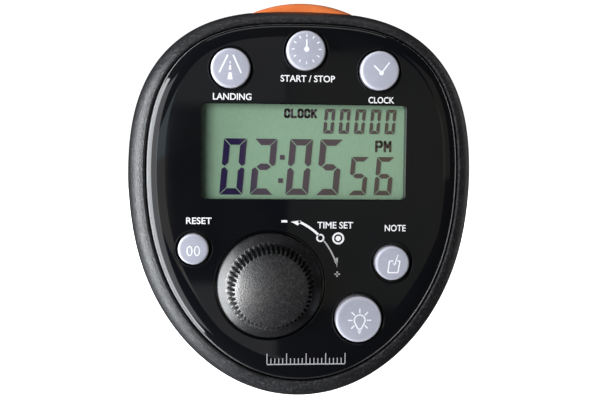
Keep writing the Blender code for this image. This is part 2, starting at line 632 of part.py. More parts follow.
def main():
    clear_scene()
    make_front_casing()
    make_rear_casing()
    make_seal()
    make_screws("casing_screw", CASE_SCREWS, (2.1, -1.6, -0.3), (1.0, -17.5))
    make_screws("board_screw", BOARD_SCREWS, (1.8, BOARD_BACK_Y + GAP, -14.2), (0.75, -20.3))
    make_face_panel()
    make_display()
    make_board()
    make_board_parts()
    for name, x, z, radius, hole in KEYS:
        make_key(name, x, z, radius, hole)
        make_key_switch(name, x, z)
    make_start_stop_bar()
    make_dial()
    make_encoder()
    make_cell("battery_1", CELL_Z[0], 1)
    make_cell("battery_2", CELL_Z[1], -1)
    make_battery_contacts()
    make_battery_door()
    make_clip()


main()
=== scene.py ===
"""Looks of the hand-held digital flight timer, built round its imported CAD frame.

Lengths are millimetres until a mesh is made, and MM turns them into the frame's metres. +X is
the reader's right, +Z is up, and the face looks along -Y, as in the CAD.
"""
from math import copysign, cos, hypot, pi, radians, sin, sqrt, tan, tau

import bmesh
import bpy
import numpy as np
from mathutils import Matrix, Vector


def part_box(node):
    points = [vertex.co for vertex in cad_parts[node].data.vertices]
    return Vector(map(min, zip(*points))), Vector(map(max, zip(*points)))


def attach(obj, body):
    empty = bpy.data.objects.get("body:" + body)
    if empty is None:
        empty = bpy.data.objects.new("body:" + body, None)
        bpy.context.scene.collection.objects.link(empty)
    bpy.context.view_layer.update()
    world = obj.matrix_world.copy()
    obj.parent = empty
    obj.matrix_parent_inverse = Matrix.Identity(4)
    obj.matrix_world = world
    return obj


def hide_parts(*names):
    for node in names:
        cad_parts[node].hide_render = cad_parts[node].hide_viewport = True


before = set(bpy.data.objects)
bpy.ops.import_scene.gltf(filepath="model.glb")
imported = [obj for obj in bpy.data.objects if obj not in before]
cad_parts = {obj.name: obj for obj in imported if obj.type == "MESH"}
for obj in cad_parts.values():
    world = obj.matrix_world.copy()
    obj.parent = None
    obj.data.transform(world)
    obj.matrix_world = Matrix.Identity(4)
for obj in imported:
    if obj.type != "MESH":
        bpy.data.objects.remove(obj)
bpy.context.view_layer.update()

MM = 0.001
GAP = 0.3                    # clearance that the CAD keeps between its solids
SKIN = 0.02                  # thickness of printed marks


def span(node):
    """Lowest and highest corner of a CAD node, in millimetres."""
    low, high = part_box(node)
    return low / MM, high / MM


def centre(node):
    low, high = span(node)
    return (low + high) / 2


# ---- places read off the frame ----
CASE_CENTRE_Z = 4.0          # height that the outline's radii are taken about
CASE_HARMONICS = np.array([44.2, -3.2, 2.6, -2.0, -0.7, -0.4])   # outline radius, cosine series
SKIN_HARMONICS = np.array([-0.55, 0.25, -0.1])   # how far the outer skin stands out from it
SKIN_DEPTH = 5.0             # inset at which that offset has died out
FACE_Y = span("face_panel")[0].y
RIM_Y = span("front_casing")[0].y            # foremost line of the rim round the face
LEDGE_Y = span("face_panel")[1].y + GAP      # ledge that the panel lies in front of
FRONT_EDGE_Y = span("front_casing")[1].y     # where the casings meet, with the seal between
REAR_EDGE_Y = FRONT_EDGE_Y + 1.0
DIAL = centre("dial_knob")
SKIRT_R = (span("dial_knob")[1].x - span("dial_knob")[0].x) / 2
DIAL_HOLE_R = SKIRT_R + 0.55
WINDOW_LOW, WINDOW_HIGH = span("display_window")
WINDOW_LOW = WINDOW_LOW + Vector((1.3, 0.0, 1.5))      # the opening is smaller than its pane
WINDOW_HIGH = WINDOW_HIGH - Vector((1.3, 0.0, 1.3))
LCD_LOW, LCD_HIGH = span("lcd_glass")
LCD_SUNK = 0.1               # room for the printed figures in front of the glass
PANEL_RISE = 1.0             # the face sits this much higher than the case outline
PANEL_INSET = 5.4            # from the case outline to the panel's edge
ROLL_IN, ROLL_BACK = 4.2, 2.3    # size of the panel's rolled edge, across and in depth
# keys: cap radius, and gap between cap and hole
KEYS = {"landing": (4.4, 0.55), "chrono": (4.4, 0.55), "clock": (4.4, 0.55),
        "reset": (3.45, 0.65), "note": (3.9, 0.9), "light": (5.3, 0.6)}


def rim(turn, inset, y, rise=0.0):
    """Points of the case outline at turn from straight up, moved in by inset, up by rise."""
    turn = np.atleast_1d(np.asarray(turn, float))
    orders = np.arange(len(CASE_HARMONICS))
    waves = np.cos(np.outer(turn, orders))
    radius = waves @ CASE_HARMONICS
    slope = -np.sin(np.outer(turn, orders)) @ (orders * CASE_HARMONICS)
    offset = waves[:, :len(SKIN_HARMONICS)] @ SKIN_HARMONICS
    offset = offset * np.clip(1.0 - np.asarray(inset) / SKIN_DEPTH, 0.0, 1.0)
    sine, cosine = np.sin(turn), np.cos(turn)
    along = np.stack([slope * sine + radius * cosine, slope * cosine - radius * sine], 1)
    along /= np.linalg.norm(along, axis=1)[:, None]
    x = radius * sine + (inset - offset) * along[:, 1]
    z = radius * cosine - (inset - offset) * along[:, 0] + CASE_CENTRE_Z + rise
    return np.stack([x, np.full_like(x, y), z], 1)


# ---- mesh helpers ----
def linked(name, data):
    """A new object of the scene that shows data."""
    obj = bpy.data.objects.new(name, data)
    bpy.context.scene.collection.objects.link(obj)
    return obj


def outward(mesh, weld=0.0):
    """Join the mesh's points that are nearer than weld metres, and face it outward."""
    bm = bmesh.new()
    bm.from_mesh(mesh)
    if weld > 0.0:
        bmesh.ops.remove_doubles(bm, verts=bm.verts, dist=weld)
    bmesh.ops.recalc_face_normals(bm, faces=bm.faces)
    bm.to_mesh(mesh)
    bm.free()
    return mesh


def solid(name, points, faces):
    """A mesh object from points in millimetres."""
    mesh = bpy.data.meshes.new(name)
    mesh.from_pydata((np.asarray(points, float) * MM).tolist(), [], faces)
    return linked(name, outward(mesh))


def skin(name, rings, closed=False):
    """Skin a stack of equal rings. It closes on itself, or its end rings are capped."""
    rows, count = len(rings), len(rings[0])
    faces = []
    for k in range(rows if closed else rows - 1):
        low, high = k * count, (k + 1) % rows * count
        faces += [(low + i, low + (i + 1) % count, high + (i + 1) % count, high + i)
                  for i in range(count)]
    if not closed:
        faces += [tuple(range(count)), tuple(range((rows - 1) * count, rows * count))]
    return solid(name, np.concatenate(rings), faces)


def circle(radius, count):
    angles = tau * np.arange(count) / count
    return np.stack([radius * np.cos(angles), radius * np.sin(angles)], 1)


def turned(name, profile, spot, count, closed=False):
    """A part turned about the line along Y through spot; profile is (radius, y)."""
    foot = (spot.x, 0.0, spot.z)
    rings = [np.insert(circle(radius, count), 1, y, 1) + foot for radius, y in profile]
    return skin(name, rings, closed)


def washer(name, radii, y, spot, count):
    """A flat ring about the line along Y through spot."""
    profile = [(radii[0], y[0]), (radii[1], y[0]), (radii[1], y[1]), (radii[0], y[1])]
    return turned(name, profile, spot, count, closed=True)


def turned_about_x(name, profile, spot, count):
    """A part turned about the line along X through spot; profile is (radius, x)."""
    foot = (0.0, spot.y, spot.z)
    rings = [np.insert(circle(radius, count), 0, x, 1) + foot for radius, x in profile]
    return skin(name, rings)


def quarter(steps):
    """Angles of a quarter turn."""
    return np.linspace(0.0, pi / 2, steps + 1)


def fillet(angles):
    """Pairs (1 - sine, 1 - cosine), which carry a round edge from one face to the next."""
    return [(1 - sin(a), 1 - cos(a)) for a in angles]


def rounded(x, z, radius):
    """Outline of a rectangle with round corners, as (x, z) points."""
    points = []
    for k, (cx, cz) in enumerate(((x[1] - radius, z[1] - radius), (x[0] + radius, z[1] - radius),
                                  (x[0] + radius, z[0] + radius), (x[1] - radius, z[0] + radius))):
        turn = quarter(6) + k * pi / 2
        points += [(cx + radius * cos(a), cz + radius * sin(a)) for a in turn]
    return np.array(points)


def flared(name, x, z, radius, rows):
    """A rounded block along Y; rows are pairs of how far its outline grows and the depth."""
    rings = []
    for grow, y in rows:
        flat = rounded((x[0] - grow, x[1] + grow), (z[0] - grow, z[1] + grow),
                       max(radius + grow, 0.05))
        rings.append(np.insert(flat, 1, y, 1))
    return skin(name, rings)


def plate(name, x, z, y, radius, edge=0.0):
    """A rounded plate between the two depths of y, its edges eased by edge."""
    return flared(name, x, z, radius, [(-inset, depth) for depth, inset in eased(y, edge)])


def node_plate(name, node, radius, edge, sunk=0.0):
    """A rounded plate that fills a CAD node's box, its front face sunk in."""
    low, high = span(node)
    return plate(name, (low.x, high.x), (low.z, high.z), (low.y + sunk, high.y), radius, edge)


def eased(ends, edge):
    """Pairs (place, inset) that carry a round edge of that radius at both ends of a span."""
    low, high = ends
    if edge <= 0.0:
        return [(low, 0.0), (high, 0.0)]
    turn = fillet(quarter(4))
    return ([(low + edge * along, edge * inset) for along, inset in turn[::-1]]
            + [(high - edge * along, edge * inset) for along, inset in turn])


def slab(name, outline, x, edge):
    """A closed (y, z) outline drawn out along X, its two rims eased by edge."""
    outline = np.asarray(outline, float)
    ahead, behind = np.roll(outline, -1, 0) - outline, outline - np.roll(outline, 1, 0)
    along = ahead / np.linalg.norm(ahead, axis=1)[:, None]
    along = along + behind / np.linalg.norm(behind, axis=1)[:, None]
    along /= np.linalg.norm(along, axis=1)[:, None]
    area = np.sum(outline[:, 0] * np.roll(outline[:, 1], -1)
                  - outline[:, 1] * np.roll(outline[:, 0], -1))
    inward = np.stack([-along[:, 1], along[:, 0]], 1) * copysign(1.0, area)
    rings = [np.insert(outline + inward * ease, 0, place, 1) for place, ease in eased(x, edge)]
    return skin(name, rings)


def smooth_path(points, steps):
    """Points of a Catmull-Rom curve through a short list of control points."""
    control = np.asarray(points, float)
    last = len(control) - 1
    curve = []
    for i in range(last):
        a, b, c, d = control[[max(i - 1, 0), i, i + 1, min(i + 2, last)]]
        for t in np.arange(steps) / steps:
            curve.append(0.5 * (2 * b + (c - a) * t + (2 * a - 5 * b + 4 * c - d) * t * t
                                + (3 * b - a - 3 * c + d) * t ** 3))
    return np.array([*curve, control[-1]])


def tube(name, points, radius):
    """A round wire along points, with closed ends."""
    points = np.asarray(points, float)
    along = np.gradient(points, axis=0)
    along /= np.linalg.norm(along, axis=1)[:, None]
    across = np.cross(along[0], (0.3, 0.9, 0.2))
    flat = circle(radius, 12)
    rings = []
    for place, direction in zip(points, along):
        across = across - direction * (across @ direction)
        across /= np.linalg.norm(across)
        up = np.cross(direction, across)
        rings.append(place + flat[:, :1] * across + flat[:, 1:] * up)
    return skin(name, rings)


def baked(obj):
    """Apply obj's modifiers to its mesh."""
    graph = bpy.context.evaluated_depsgraph_get()
    mesh = bpy.data.meshes.new_from_object(obj.evaluated_get(graph))
    obj.modifiers.clear()
    obj.data = mesh
    return obj


def carve(obj, others, operation="DIFFERENCE"):
    """Cut the other objects from obj, or fuse them on, and remove them."""
    for other in others:
        step = obj.modifiers.new(other.name, "BOOLEAN")
        step.operation = operation
        step.solver = "EXACT"
        step.object = other
    baked(obj)
    for other in others:
        bpy.data.objects.remove(other, do_unlink=True)


def fuse(obj, others):
    carve(obj, others, "UNION")


def lip(radius, y, ease=0.25, side=-1.0):
    """Profile (radius, y) of a cutter whose hole has a round lip at the surface y."""
    rows = [(radius + ease * out, y - side * ease * deep) for out, deep in fillet(quarter(5))]
    return [(radius + ease, y + side)] + rows


def piece(obj, body, paint, slot, *replaced, crease=32.0, weighted=True):
    """Shade obj, give it its finish, and let it ride on body in place of CAD nodes; slot is not used.
    """
    mesh = obj.data
    mesh.materials.clear()
    mesh.materials.append(PAINT[paint])
    mesh.shade_smooth()
    mesh.set_sharp_from_angle(angle=radians(crease))
    if weighted:
        even = obj.modifiers.new("even_normals", "WEIGHTED_NORMAL")
        even.keep_sharp = True
        baked(obj)
    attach(obj, body)
    if replaced:
        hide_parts(*replaced)


# ---- finishes ----
EVEN = (1.0, 1.0, 1.0)       # a texture that isn't stretched
MIX_COLOURS = (6, 7)         # the Mix node's two colour inputs
MIX_RESULT = 2               # and its colour output


class Finish:
    """A material with one Principled shader, and shorthand for the nodes that feed it."""

    def __init__(self, name, colour, roughness, metallic=0.0, **more):
        self.material = bpy.data.materials.new(name)
        self.material.use_nodes = True
        self.tree = self.material.node_tree
        self.shader = self.tree.nodes["Principled BSDF"]
        self.shader.inputs["Base Color"].default_value = (*colour, 1.0)
        self.shader.inputs["Roughness"].default_value = roughness
        self.shader.inputs["Metallic"].default_value = metallic
        for socket, value in more.items():
            self.shader.inputs[socket.replace("_", " ")].default_value = value
        self.colour = colour

    def node(self, kind, values=(), **settings):
        made = self.tree.nodes.new("ShaderNode" + kind)
        for setting, value in settings.items():
            setattr(made, setting, value)
        for socket, value in dict(values).items():
            if hasattr(value, "links"):
                self.tree.links.new(value, made.inputs[socket])
            else:
                made.inputs[socket].default_value = value
        return made

    def feed(self, source, socket):
        self.tree.links.new(source, self.shader.inputs[socket])

    def place(self, stretch=EVEN):
        coordinates = self.node("TexCoord").outputs["Object"]
        return self.node("Mapping", {"Vector": coordinates, "Scale": stretch}).outputs["Vector"]

    def along(self, axis):
        """Distance along an axis of the frame, in metres."""
        return self.node("SeparateXYZ", {"Vector": self.place()}).outputs[axis]

    def noise(self, per_mm, detail, stretch=EVEN):
        """Noise with about per_mm features in a millimetre."""
        return self.node("TexNoise", {"Vector": self.place(stretch), "Scale": per_mm / MM,
                                      "Detail": detail}).outputs["Fac"]

    def between(self, factor, start=0.3, end=0.7, low=0.0, high=1.0):
        """A number that goes from low to high as factor goes from start to end."""
        return self.node("MapRange", {"Value": factor, "From Min": start, "From Max": end,
                                      "To Min": low, "To Max": high}).outputs["Result"]

    def mix(self, factor, first, second):
        """A colour between first and second; either may be a colour or a socket."""
        made = self.node("Mix", data_type="RGBA")
        self.tree.links.new(factor, made.inputs["Factor"])
        for socket, colour in zip(MIX_COLOURS, (first, second)):
            if hasattr(colour, "links"):
                self.tree.links.new(colour, made.inputs[socket])
            else:
                made.inputs[socket].default_value = (*colour, 1.0)
        return made.outputs[MIX_RESULT]

    def mottle(self, other, per_mm):
        """Colour that wanders between the finish's own and other."""
        factor = self.between(self.noise(per_mm, 3.0), 0.35, 0.65)
        self.feed(self.mix(factor, self.colour, other), "Base Color")
        return self

    def polish(self, low, high, per_mm, detail=3.0, stretch=EVEN):
        """Roughness that wanders between low and high."""
        wander = self.noise(per_mm, detail, stretch)
        self.feed(self.between(wander, low=low, high=high), "Roughness")

    def cells(self, per_mm):
        return self.node("TexVoronoi", {"Vector": self.place(), "Scale": per_mm / MM})

    def specks(self, per_mm):
        """A number for each small cell of the surface, mostly 0 and now and then up to 1."""
        colour = self.cells(per_mm).outputs["Color"]
        return self.between(self.node("SeparateColor", {"Color": colour}).outputs["Red"], 0.6, 1.0)

    def dimples(self, per_mm, depth):
        """Spark-eroded relief of small round pits, depth in millimetres."""
        self.relief(self.cells(per_mm).outputs["Distance"], depth)
        return self

    def grain(self, per_mm, depth, detail=2.0, strength=1.0, stretch=EVEN):
        """Fine relief, depth in millimetres."""
        self.relief(self.noise(per_mm, detail, stretch), depth, strength)
        return self

    def relief(self, height, depth, strength=1.0):
        bump = self.node("Bump", {"Height": height, "Strength": strength, "Distance": depth * MM})
        self.feed(bump.outputs["Normal"], "Normal")


def moulded(name, colour, other, roughness, grain=3.0, depth=0.02):
    """Moulded plastic with a fine spark-eroded grain."""
    made = Finish(name, colour, roughness).mottle(other, 0.25)
    made.polish(roughness - 0.06, roughness + 0.08, 0.4)
    return made.grain(grain, depth).material


def metal(name, colour, other, roughness=0.3):
    """Plated metal with faint drawing lines."""
    stretch = (1.0, 1.0, 6.0)
    made = Finish(name, colour, roughness, 1.0).mottle(other, 0.5)
    made.polish(roughness - 0.08, roughness + 0.12, 0.8, stretch=stretch)
    return made.grain(2.0, 0.006, stretch=stretch).material


def casing_finish():
    """Matt black plastic, coarse-grained. Its front and back are a little worn and dusty; the side
    wall between them is darker and less glossy, which is a painted shade."""
    made = Finish("casing_plastic", (0.012, 0.012, 0.0135), 0.38)
    worn = made.between(made.noise(0.12, 4.0), 0.45, 0.75)
    speck = made.specks(3.0)
    base = made.mix(worn, made.colour, (0.022, 0.022, 0.024))
    dusty = made.mix(speck, base, (0.05, 0.05, 0.055))
    facing = made.node("SeparateXYZ", {"Vector": made.node("TexCoord").outputs["Normal"]})
    depth = made.node("Math", {0: facing.outputs["Y"]}, operation="ABSOLUTE").outputs["Value"]
    outside_painted_wall_shade = made.between(depth, 0.2, 0.5)
    # painted shade: the side wall, facing neither front nor back, gets a darker colour and less
    # specular
    made.feed(made.mix(outside_painted_wall_shade, (0.003, 0.003, 0.0035), dusty), "Base Color")
    made.feed(made.between(outside_painted_wall_shade, 0.0, 1.0, 0.22, 0.5), "Specular IOR Level")
    made.polish(0.32, 0.44, 0.5)
    return made.dimples(2.8, 0.06).material


def panel_finish():
    """High-gloss black with the faintest smears."""
    made = Finish("panel_gloss", (0.0022, 0.0026, 0.0042), 0.05)
    made.mottle((0.0035, 0.0036, 0.0045), 0.05)
    made.polish(0.035, 0.075, 0.08, 4.0)
    return made.grain(0.06, 0.004, 1.0, 0.6).material


def edge_finish():
    """Cut resin in light grey, which is a painted highlight; much darker along the bottom, a painted
    shade.
    """
    # painted highlight: the light grey of the edge stands in for the light the rolled edge catches
    made = Finish("panel_edge_painted_highlight", (0.24, 0.24, 0.25), 0.3)
    # painted shade: the colour darkens towards the bottom of the face
    clear = made.between(made.along("Z"), -39.0 * MM, -27.0 * MM)
    painted_highlight_grey = made.mix(made.between(made.noise(0.25, 3.0)), made.colour, (0.21, 0.21, 0.215))
    made.feed(made.mix(clear, (0.03, 0.03, 0.032), painted_highlight_grey), "Base Color")
    made.polish(0.24, 0.38, 0.4)
    return made.grain(2.0, 0.01).material


def key_finish():
    """Lilac-grey translucent silicone, paler towards the rim: a painted highlight round each cap's
    edge.
    """
    made = Finish("key_silicone", (0.375, 0.39, 0.468), 0.42, Subsurface_Weight=0.15,
                  Subsurface_Radius=(0.8 * MM, 0.8 * MM, 0.9 * MM))
    spot = made.node("Mapping", {"Vector": made.node("TexCoord").outputs["Generated"],
                                 "Location": (-1.0, 0.0, -1.0), "Scale": (2.0, 0.0, 2.0)})
    away = made.node("VectorMath", {0: spot.outputs["Vector"]}, operation="LENGTH")
    # painted highlight: the colour pales towards each cap's rim
    edge = made.between(away.outputs["Value"], 0.84, 0.97)
    cloudy = made.mix(made.between(made.noise(0.6, 3.0)), made.colour, (0.35, 0.36, 0.435))
    made.feed(made.mix(edge, cloudy, (0.52, 0.52, 0.6)), "Base Color")
    made.polish(0.36, 0.5, 1.5)
    return made.grain(2.5, 0.008).material


def dial_finish():
    """Matt black plastic with a fine sharp grain."""
    made = Finish("dial_plastic", (0.004, 0.004, 0.0045), 0.38, Specular_IOR_Level=0.8)
    speck = made.specks(3.6)
    made.feed(made.mix(speck, made.colour, (0.014, 0.014, 0.016)), "Base Color")
    made.polish(0.34, 0.42, 1.0)
    return made.dimples(4.0, 0.022).material


def orange_finish():
    made = Finish("orange_plastic", (0.76, 0.2, 0.055), 0.38, Subsurface_Weight=0.1,
                  Subsurface_Radius=(1.0 * MM, 0.4 * MM, 0.1 * MM))
    made.mottle((0.7, 0.17, 0.045), 0.2)
    made.polish(0.32, 0.46, 0.8)
    return made.grain(3.0, 0.01).material


def lcd_finish():
    """Grey-green reflective display, bluer on the left and warmer on the right."""
    made = Finish("lcd_reflector", (0.24, 0.34, 0.26), 0.34)
    share = made.between(made.along("X"), LCD_LOW.x * MM, LCD_HIGH.x * MM)
    wide = made.mix(share, (0.24, 0.35, 0.275), (0.265, 0.345, 0.25))
    tinted = made.mix(made.between(made.noise(0.16, 3.0)), wide, (0.245, 0.335, 0.255))
    lines = made.between(made.noise(2.6, 2.0, (1.0, 1.0, 0.35)))
    made.feed(made.mix(lines, tinted, (0.27, 0.37, 0.285)), "Base Color")
    made.polish(0.3, 0.4, 0.3)
    return made.grain(2.0, 0.004).material


def segment_finish():
    """Display ink: violet on the left, going to warm grey on the right."""
    made = Finish("lcd_ink", (0.02, 0.005, 0.06), 0.4)
    across = made.along("X")
    left = made.between(across, 0.62 * LCD_LOW.x * MM, 0.42 * LCD_LOW.x * MM)
    share = made.between(across, 0.4 * LCD_LOW.x * MM, LCD_HIGH.x * MM)
    right = made.mix(share, (0.075, 0.048, 0.075), (0.09, 0.06, 0.05))
    made.feed(made.mix(left, (0.014, 0.003, 0.05), right), "Base Color")
    made.polish(0.35, 0.45, 0.8)
    return made.material


def print_finish(name, colour):
    made = Finish(name, colour, 0.5).mottle(tuple(0.86 * part for part in colour), 1.5)
    return made.grain(3.0, 0.006).material


def clear_finish():
    """A clear pane: what is behind it shows through, and it mirrors by its angle."""
    made = Finish("window_clear", (0.9, 0.95, 0.92), 0.04)
    mirror = made.node("BsdfAnisotropic", {"Roughness": 0.05, "Color": (1.0, 1.0, 1.0, 1.0)})
    open_side = made.node("BsdfTransparent", {"Color": (0.95, 0.98, 0.96, 1.0)})
    sides = made.node("NewGeometry").outputs["Backfacing"]
    outer = made.between(sides, 0.0, 1.0, 1.0, 0.0)
    angle = made.node("Fresnel", {"IOR": 1.4}).outputs["Fac"]
    share = made.node("Math", {0: angle, 1: outer}, operation="MULTIPLY")
    mixed = made.node("MixShader", {0: share.outputs["Value"], 1: open_side.outputs["BSDF"],
                                    2: mirror.outputs["BSDF"]})
    output = next(n for n in made.tree.nodes if n.type == "OUTPUT_MATERIAL")
    made.tree.links.new(mixed.outputs["Shader"], output.inputs["Surface"])
    made.tree.nodes.remove(made.shader)
    return made.material


def board_finish():
    """Solder mask over copper tracks."""
    made = Finish("board_mask", (0.015, 0.14, 0.05), 0.4)
    tracks = made.node("TexBrick", {"Vector": made.place(), "Scale": 0.35 / MM,
                                    "Mortar Size": 0.06, "Color1": (0.012, 0.11, 0.04, 1.0),
                                    "Color2": (0.014, 0.13, 0.045, 1.0),
                                    "Mortar": (0.03, 0.23, 0.08, 1.0)})
    made.feed(tracks.outputs["Color"], "Base Color")
    made.polish(0.3, 0.5, 0.6)
    return made.grain(1.5, 0.01).material


def cell_finish():
    """Printed foil sleeve: dark, with a copper-coloured end."""
    made = Finish("cell_sleeve", (0.03, 0.03, 0.035), 0.3, 0.5)
    end = made.between(made.along("X"), 9.0 * MM, 9.2 * MM)
    made.feed(made.mix(end, made.colour, (0.5, 0.24, 0.07)), "Base Color")
    made.polish(0.2, 0.4, 0.4)
    return made.grain(1.0, 0.01).material


PAINT = {
    "casing": casing_finish(),
    "panel": panel_finish(),
    "key": key_finish(),
    "dial": dial_finish(),
    "orange": orange_finish(),
    "lcd": lcd_finish(),
    "ink": segment_finish(),
    "shade": print_finish("lcd_shade", (0.235, 0.3, 0.235)),
    "white": print_finish("white_print", (0.86, 0.87, 0.9)),
    "grey": print_finish("grey_print", (0.4, 0.4, 0.42)),
    "icon": print_finish("icon_print", (0.88, 0.88, 0.95)),
    "clear": clear_finish(),
    "edge": edge_finish(),
    "rubber": moulded("rubber", (0.014, 0.014, 0.014), (0.022, 0.022, 0.022), 0.8, 2.0, 0.03),
    "inner": moulded("inner_plastic", (0.02, 0.02, 0.02), (0.03, 0.03, 0.03), 0.5),
    "pale": moulded("white_plastic", (0.75, 0.77, 0.74), (0.68, 0.7, 0.68), 0.45),
    "lamp": moulded("lamp_resin", (0.85, 0.78, 0.4), (0.8, 0.72, 0.32), 0.3),
    "board": board_finish(),
    "steel": metal("bright_steel", (0.62, 0.62, 0.6), (0.52, 0.52, 0.5)),
    "blackened": metal("blackened_steel", (0.07, 0.07, 0.072), (0.12, 0.12, 0.12), 0.38),
    "brass": metal("brass", (0.72, 0.52, 0.26), (0.6, 0.42, 0.2)),
    "sleeve": moulded("capacitor_sleeve", (0.03, 0.035, 0.11), (0.04, 0.045, 0.13), 0.35),
    "cell": cell_finish(),
}


# ---- casings ----
TURNS = tau * np.arange(240) / 240       # round a case outline, from straight up


def case_solid(name, rows, closed):
    """A solid with the case's outline; each row is (inset, y, rise)."""
    return skin(name, [rim(TURNS, *row) for row in rows], closed)


def bar_strip(name, half, outer, inner, y):
    """A stretch of the case's top edge between two insets and two depths."""
    turns = np.linspace(-half, half, 25)
    flat = np.concatenate([rim(turns, outer, 0.0), rim(turns[::-1], inner, 0.0)])
    return skin(name, [flat + (0.0, depth, 0.0) for depth in y])


BAR_LOW, BAR_HIGH = span("start_stop_bar")
BAR_HALF_TURN = radians(16.3)
SLOT_MARGIN = radians(0.4)


def make_front_casing():
    """Bezel ring with a soft shoulder, a broad bevel and an eased inner edge."""
    inner = PANEL_INSET - GAP - 0.05      # the rim's inner edge
    seat = 7.6                            # inner edge of the ledge that carries the panel
    shoulder = smooth_path([
        (0.0, FRONT_EDGE_Y - 0.2, 0.0), (0.12, -15.5, 0.0), (0.45, -18.6, 0.0), (1.1, -20.9, 0.08),
        (2.2, -22.7, 0.35), (3.4, -23.75, 0.7), (inner - 0.55, RIM_Y, 0.97)], 5)
    edge = [(inner - 0.36, RIM_Y + 0.04, 1.0), (inner - 0.17, RIM_Y + 0.14, 1.0),
            (inner - 0.05, RIM_Y + 0.3, 1.0), (inner, RIM_Y + 0.55, 1.0),
            (inner, LEDGE_Y, 1.0), (seat, LEDGE_Y, 1.0),
            (seat, LEDGE_Y + 1.2, 1.0), (3.4, -20.0, 0.3), (2.1, -17.5, 0.0),
            (2.0, FRONT_EDGE_Y, 0.0), (0.25, FRONT_EDGE_Y, 0.0), (0.07, FRONT_EDGE_Y - 0.06, 0.0)]
    casing = case_solid("front_casing_shell", [*shoulder, *edge], closed=True)
    slot = bar_strip("slot", BAR_HALF_TURN + SLOT_MARGIN, -3.0, 6.4,
                     (BAR_LOW.y - GAP, BAR_HIGH.y + GAP))
    carve(casing, [slot])
    piece(casing, "case", "casing", "casing", "front_casing")


def ears(name, foot, radius, x, edge):
    """A pair of ears round the clip's pin, between the distances x, standing on y = foot."""
    way = 1.0 if foot < PIN.y else -1.0
    outline = [(PIN.y + way * radius * sin(a), PIN.z + radius * cos(a))
               for a in np.linspace(0.0, pi, 21)]
    outline += [(foot, PIN.z - radius), (foot, PIN.z + radius)]
    return [slab(f"{name}_{i}", outline, sorted((x[0] * side, x[1] * side)), edge)
            for i, side in enumerate((-1, 1))]


RECESS_Y = -0.6              # floor of the shallow recesses in the back
DOOR_LOW, DOOR_HIGH = span("battery_door")
PIN = centre("clip_pin")
SCREWS = [centre(f"casing_screw_{i}") for i in range(1, 5)]


def make_rear_casing():
    """Rear tray: soft outer edge, battery bay, counterbores, clip recess and ears."""
    skin_rows = smooth_path([(0.0, REAR_EDGE_Y + 0.25, 0.0), (0.35, -7.0, 0.0),
                             (1.55, -3.4, 0.0), (3.2, -1.15, 0.0), (4.6, -0.28, 0.0),
                             (5.9, 0.0, 0.0)], 5)
    rows = [(6.5, -2.0, 0.0), (4.8, -2.6, 0.0), (3.4, -4.4, 0.0), (2.35, -7.2, 0.0),
            (2.0, REAR_EDGE_Y, 0.0), (0.25, REAR_EDGE_Y, 0.0), (0.07, REAR_EDGE_Y + 0.07, 0.0)]
    casing = case_solid("rear_casing_shell", [*rows, *skin_rows], closed=False)
    bay_x = (DOOR_LOW.x - GAP, DOOR_HIGH.x + GAP)
    bay_z = (DOOR_LOW.z - GAP, DOOR_HIGH.z + 2 * GAP)
    front = span("rear_casing")[0].y
    floor, wall = front + 1.1, 1.2
    walls = plate("bay_walls", (bay_x[0] - wall, bay_x[1] + wall),
                  (bay_z[0] - wall, bay_z[1] + wall), (front, -1.0), 1.0)
    fuse(casing, [walls])
    recess = plate("clip_recess", (-12.6, 12.6), (3.3, 60.0), (RECESS_Y, 1.0), 2.0)
    bay = flared("bay_room", bay_x, bay_z, 1.3, (
        (0.25, 1.0), (0.25, 0.0), (0.13, -0.03), (0.04, -0.11), (0.0, -0.25), (0.0, floor)))
    cuts = [recess, bay]
    head_r, shank_r, head_y = 2.6, 1.35, -1.9
    for i, spot in enumerate(SCREWS):
        profile = lip(head_r, 0.0, 0.25, 1.0) + [(head_r, head_y), (shank_r, head_y),
                                                 (shank_r, -11.5)]
        cuts.append(turned(f"screw_hole_{i}", profile, spot, 36))
    carve(casing, cuts)
    fuse(casing, ears("ear", -1.1, 2.3, (8.6, 10.8), 0.3))
    piece(casing, "case", "casing", "casing", "rear_casing")


def make_seal():
    middle = (FRONT_EDGE_Y + REAR_EDGE_Y) / 2
    section = [(1.8, 0.49), (0.95, 0.49), (0.84, 0.3), (0.8, 0.0), (0.84, -0.3), (0.95, -0.49),
               (1.8, -0.49)]
    seal = case_solid("casing_seal_cord", [(inset, middle + y) for inset, y in section], True)
    piece(seal, "case", "rubber", "rubber", "casing_seal")


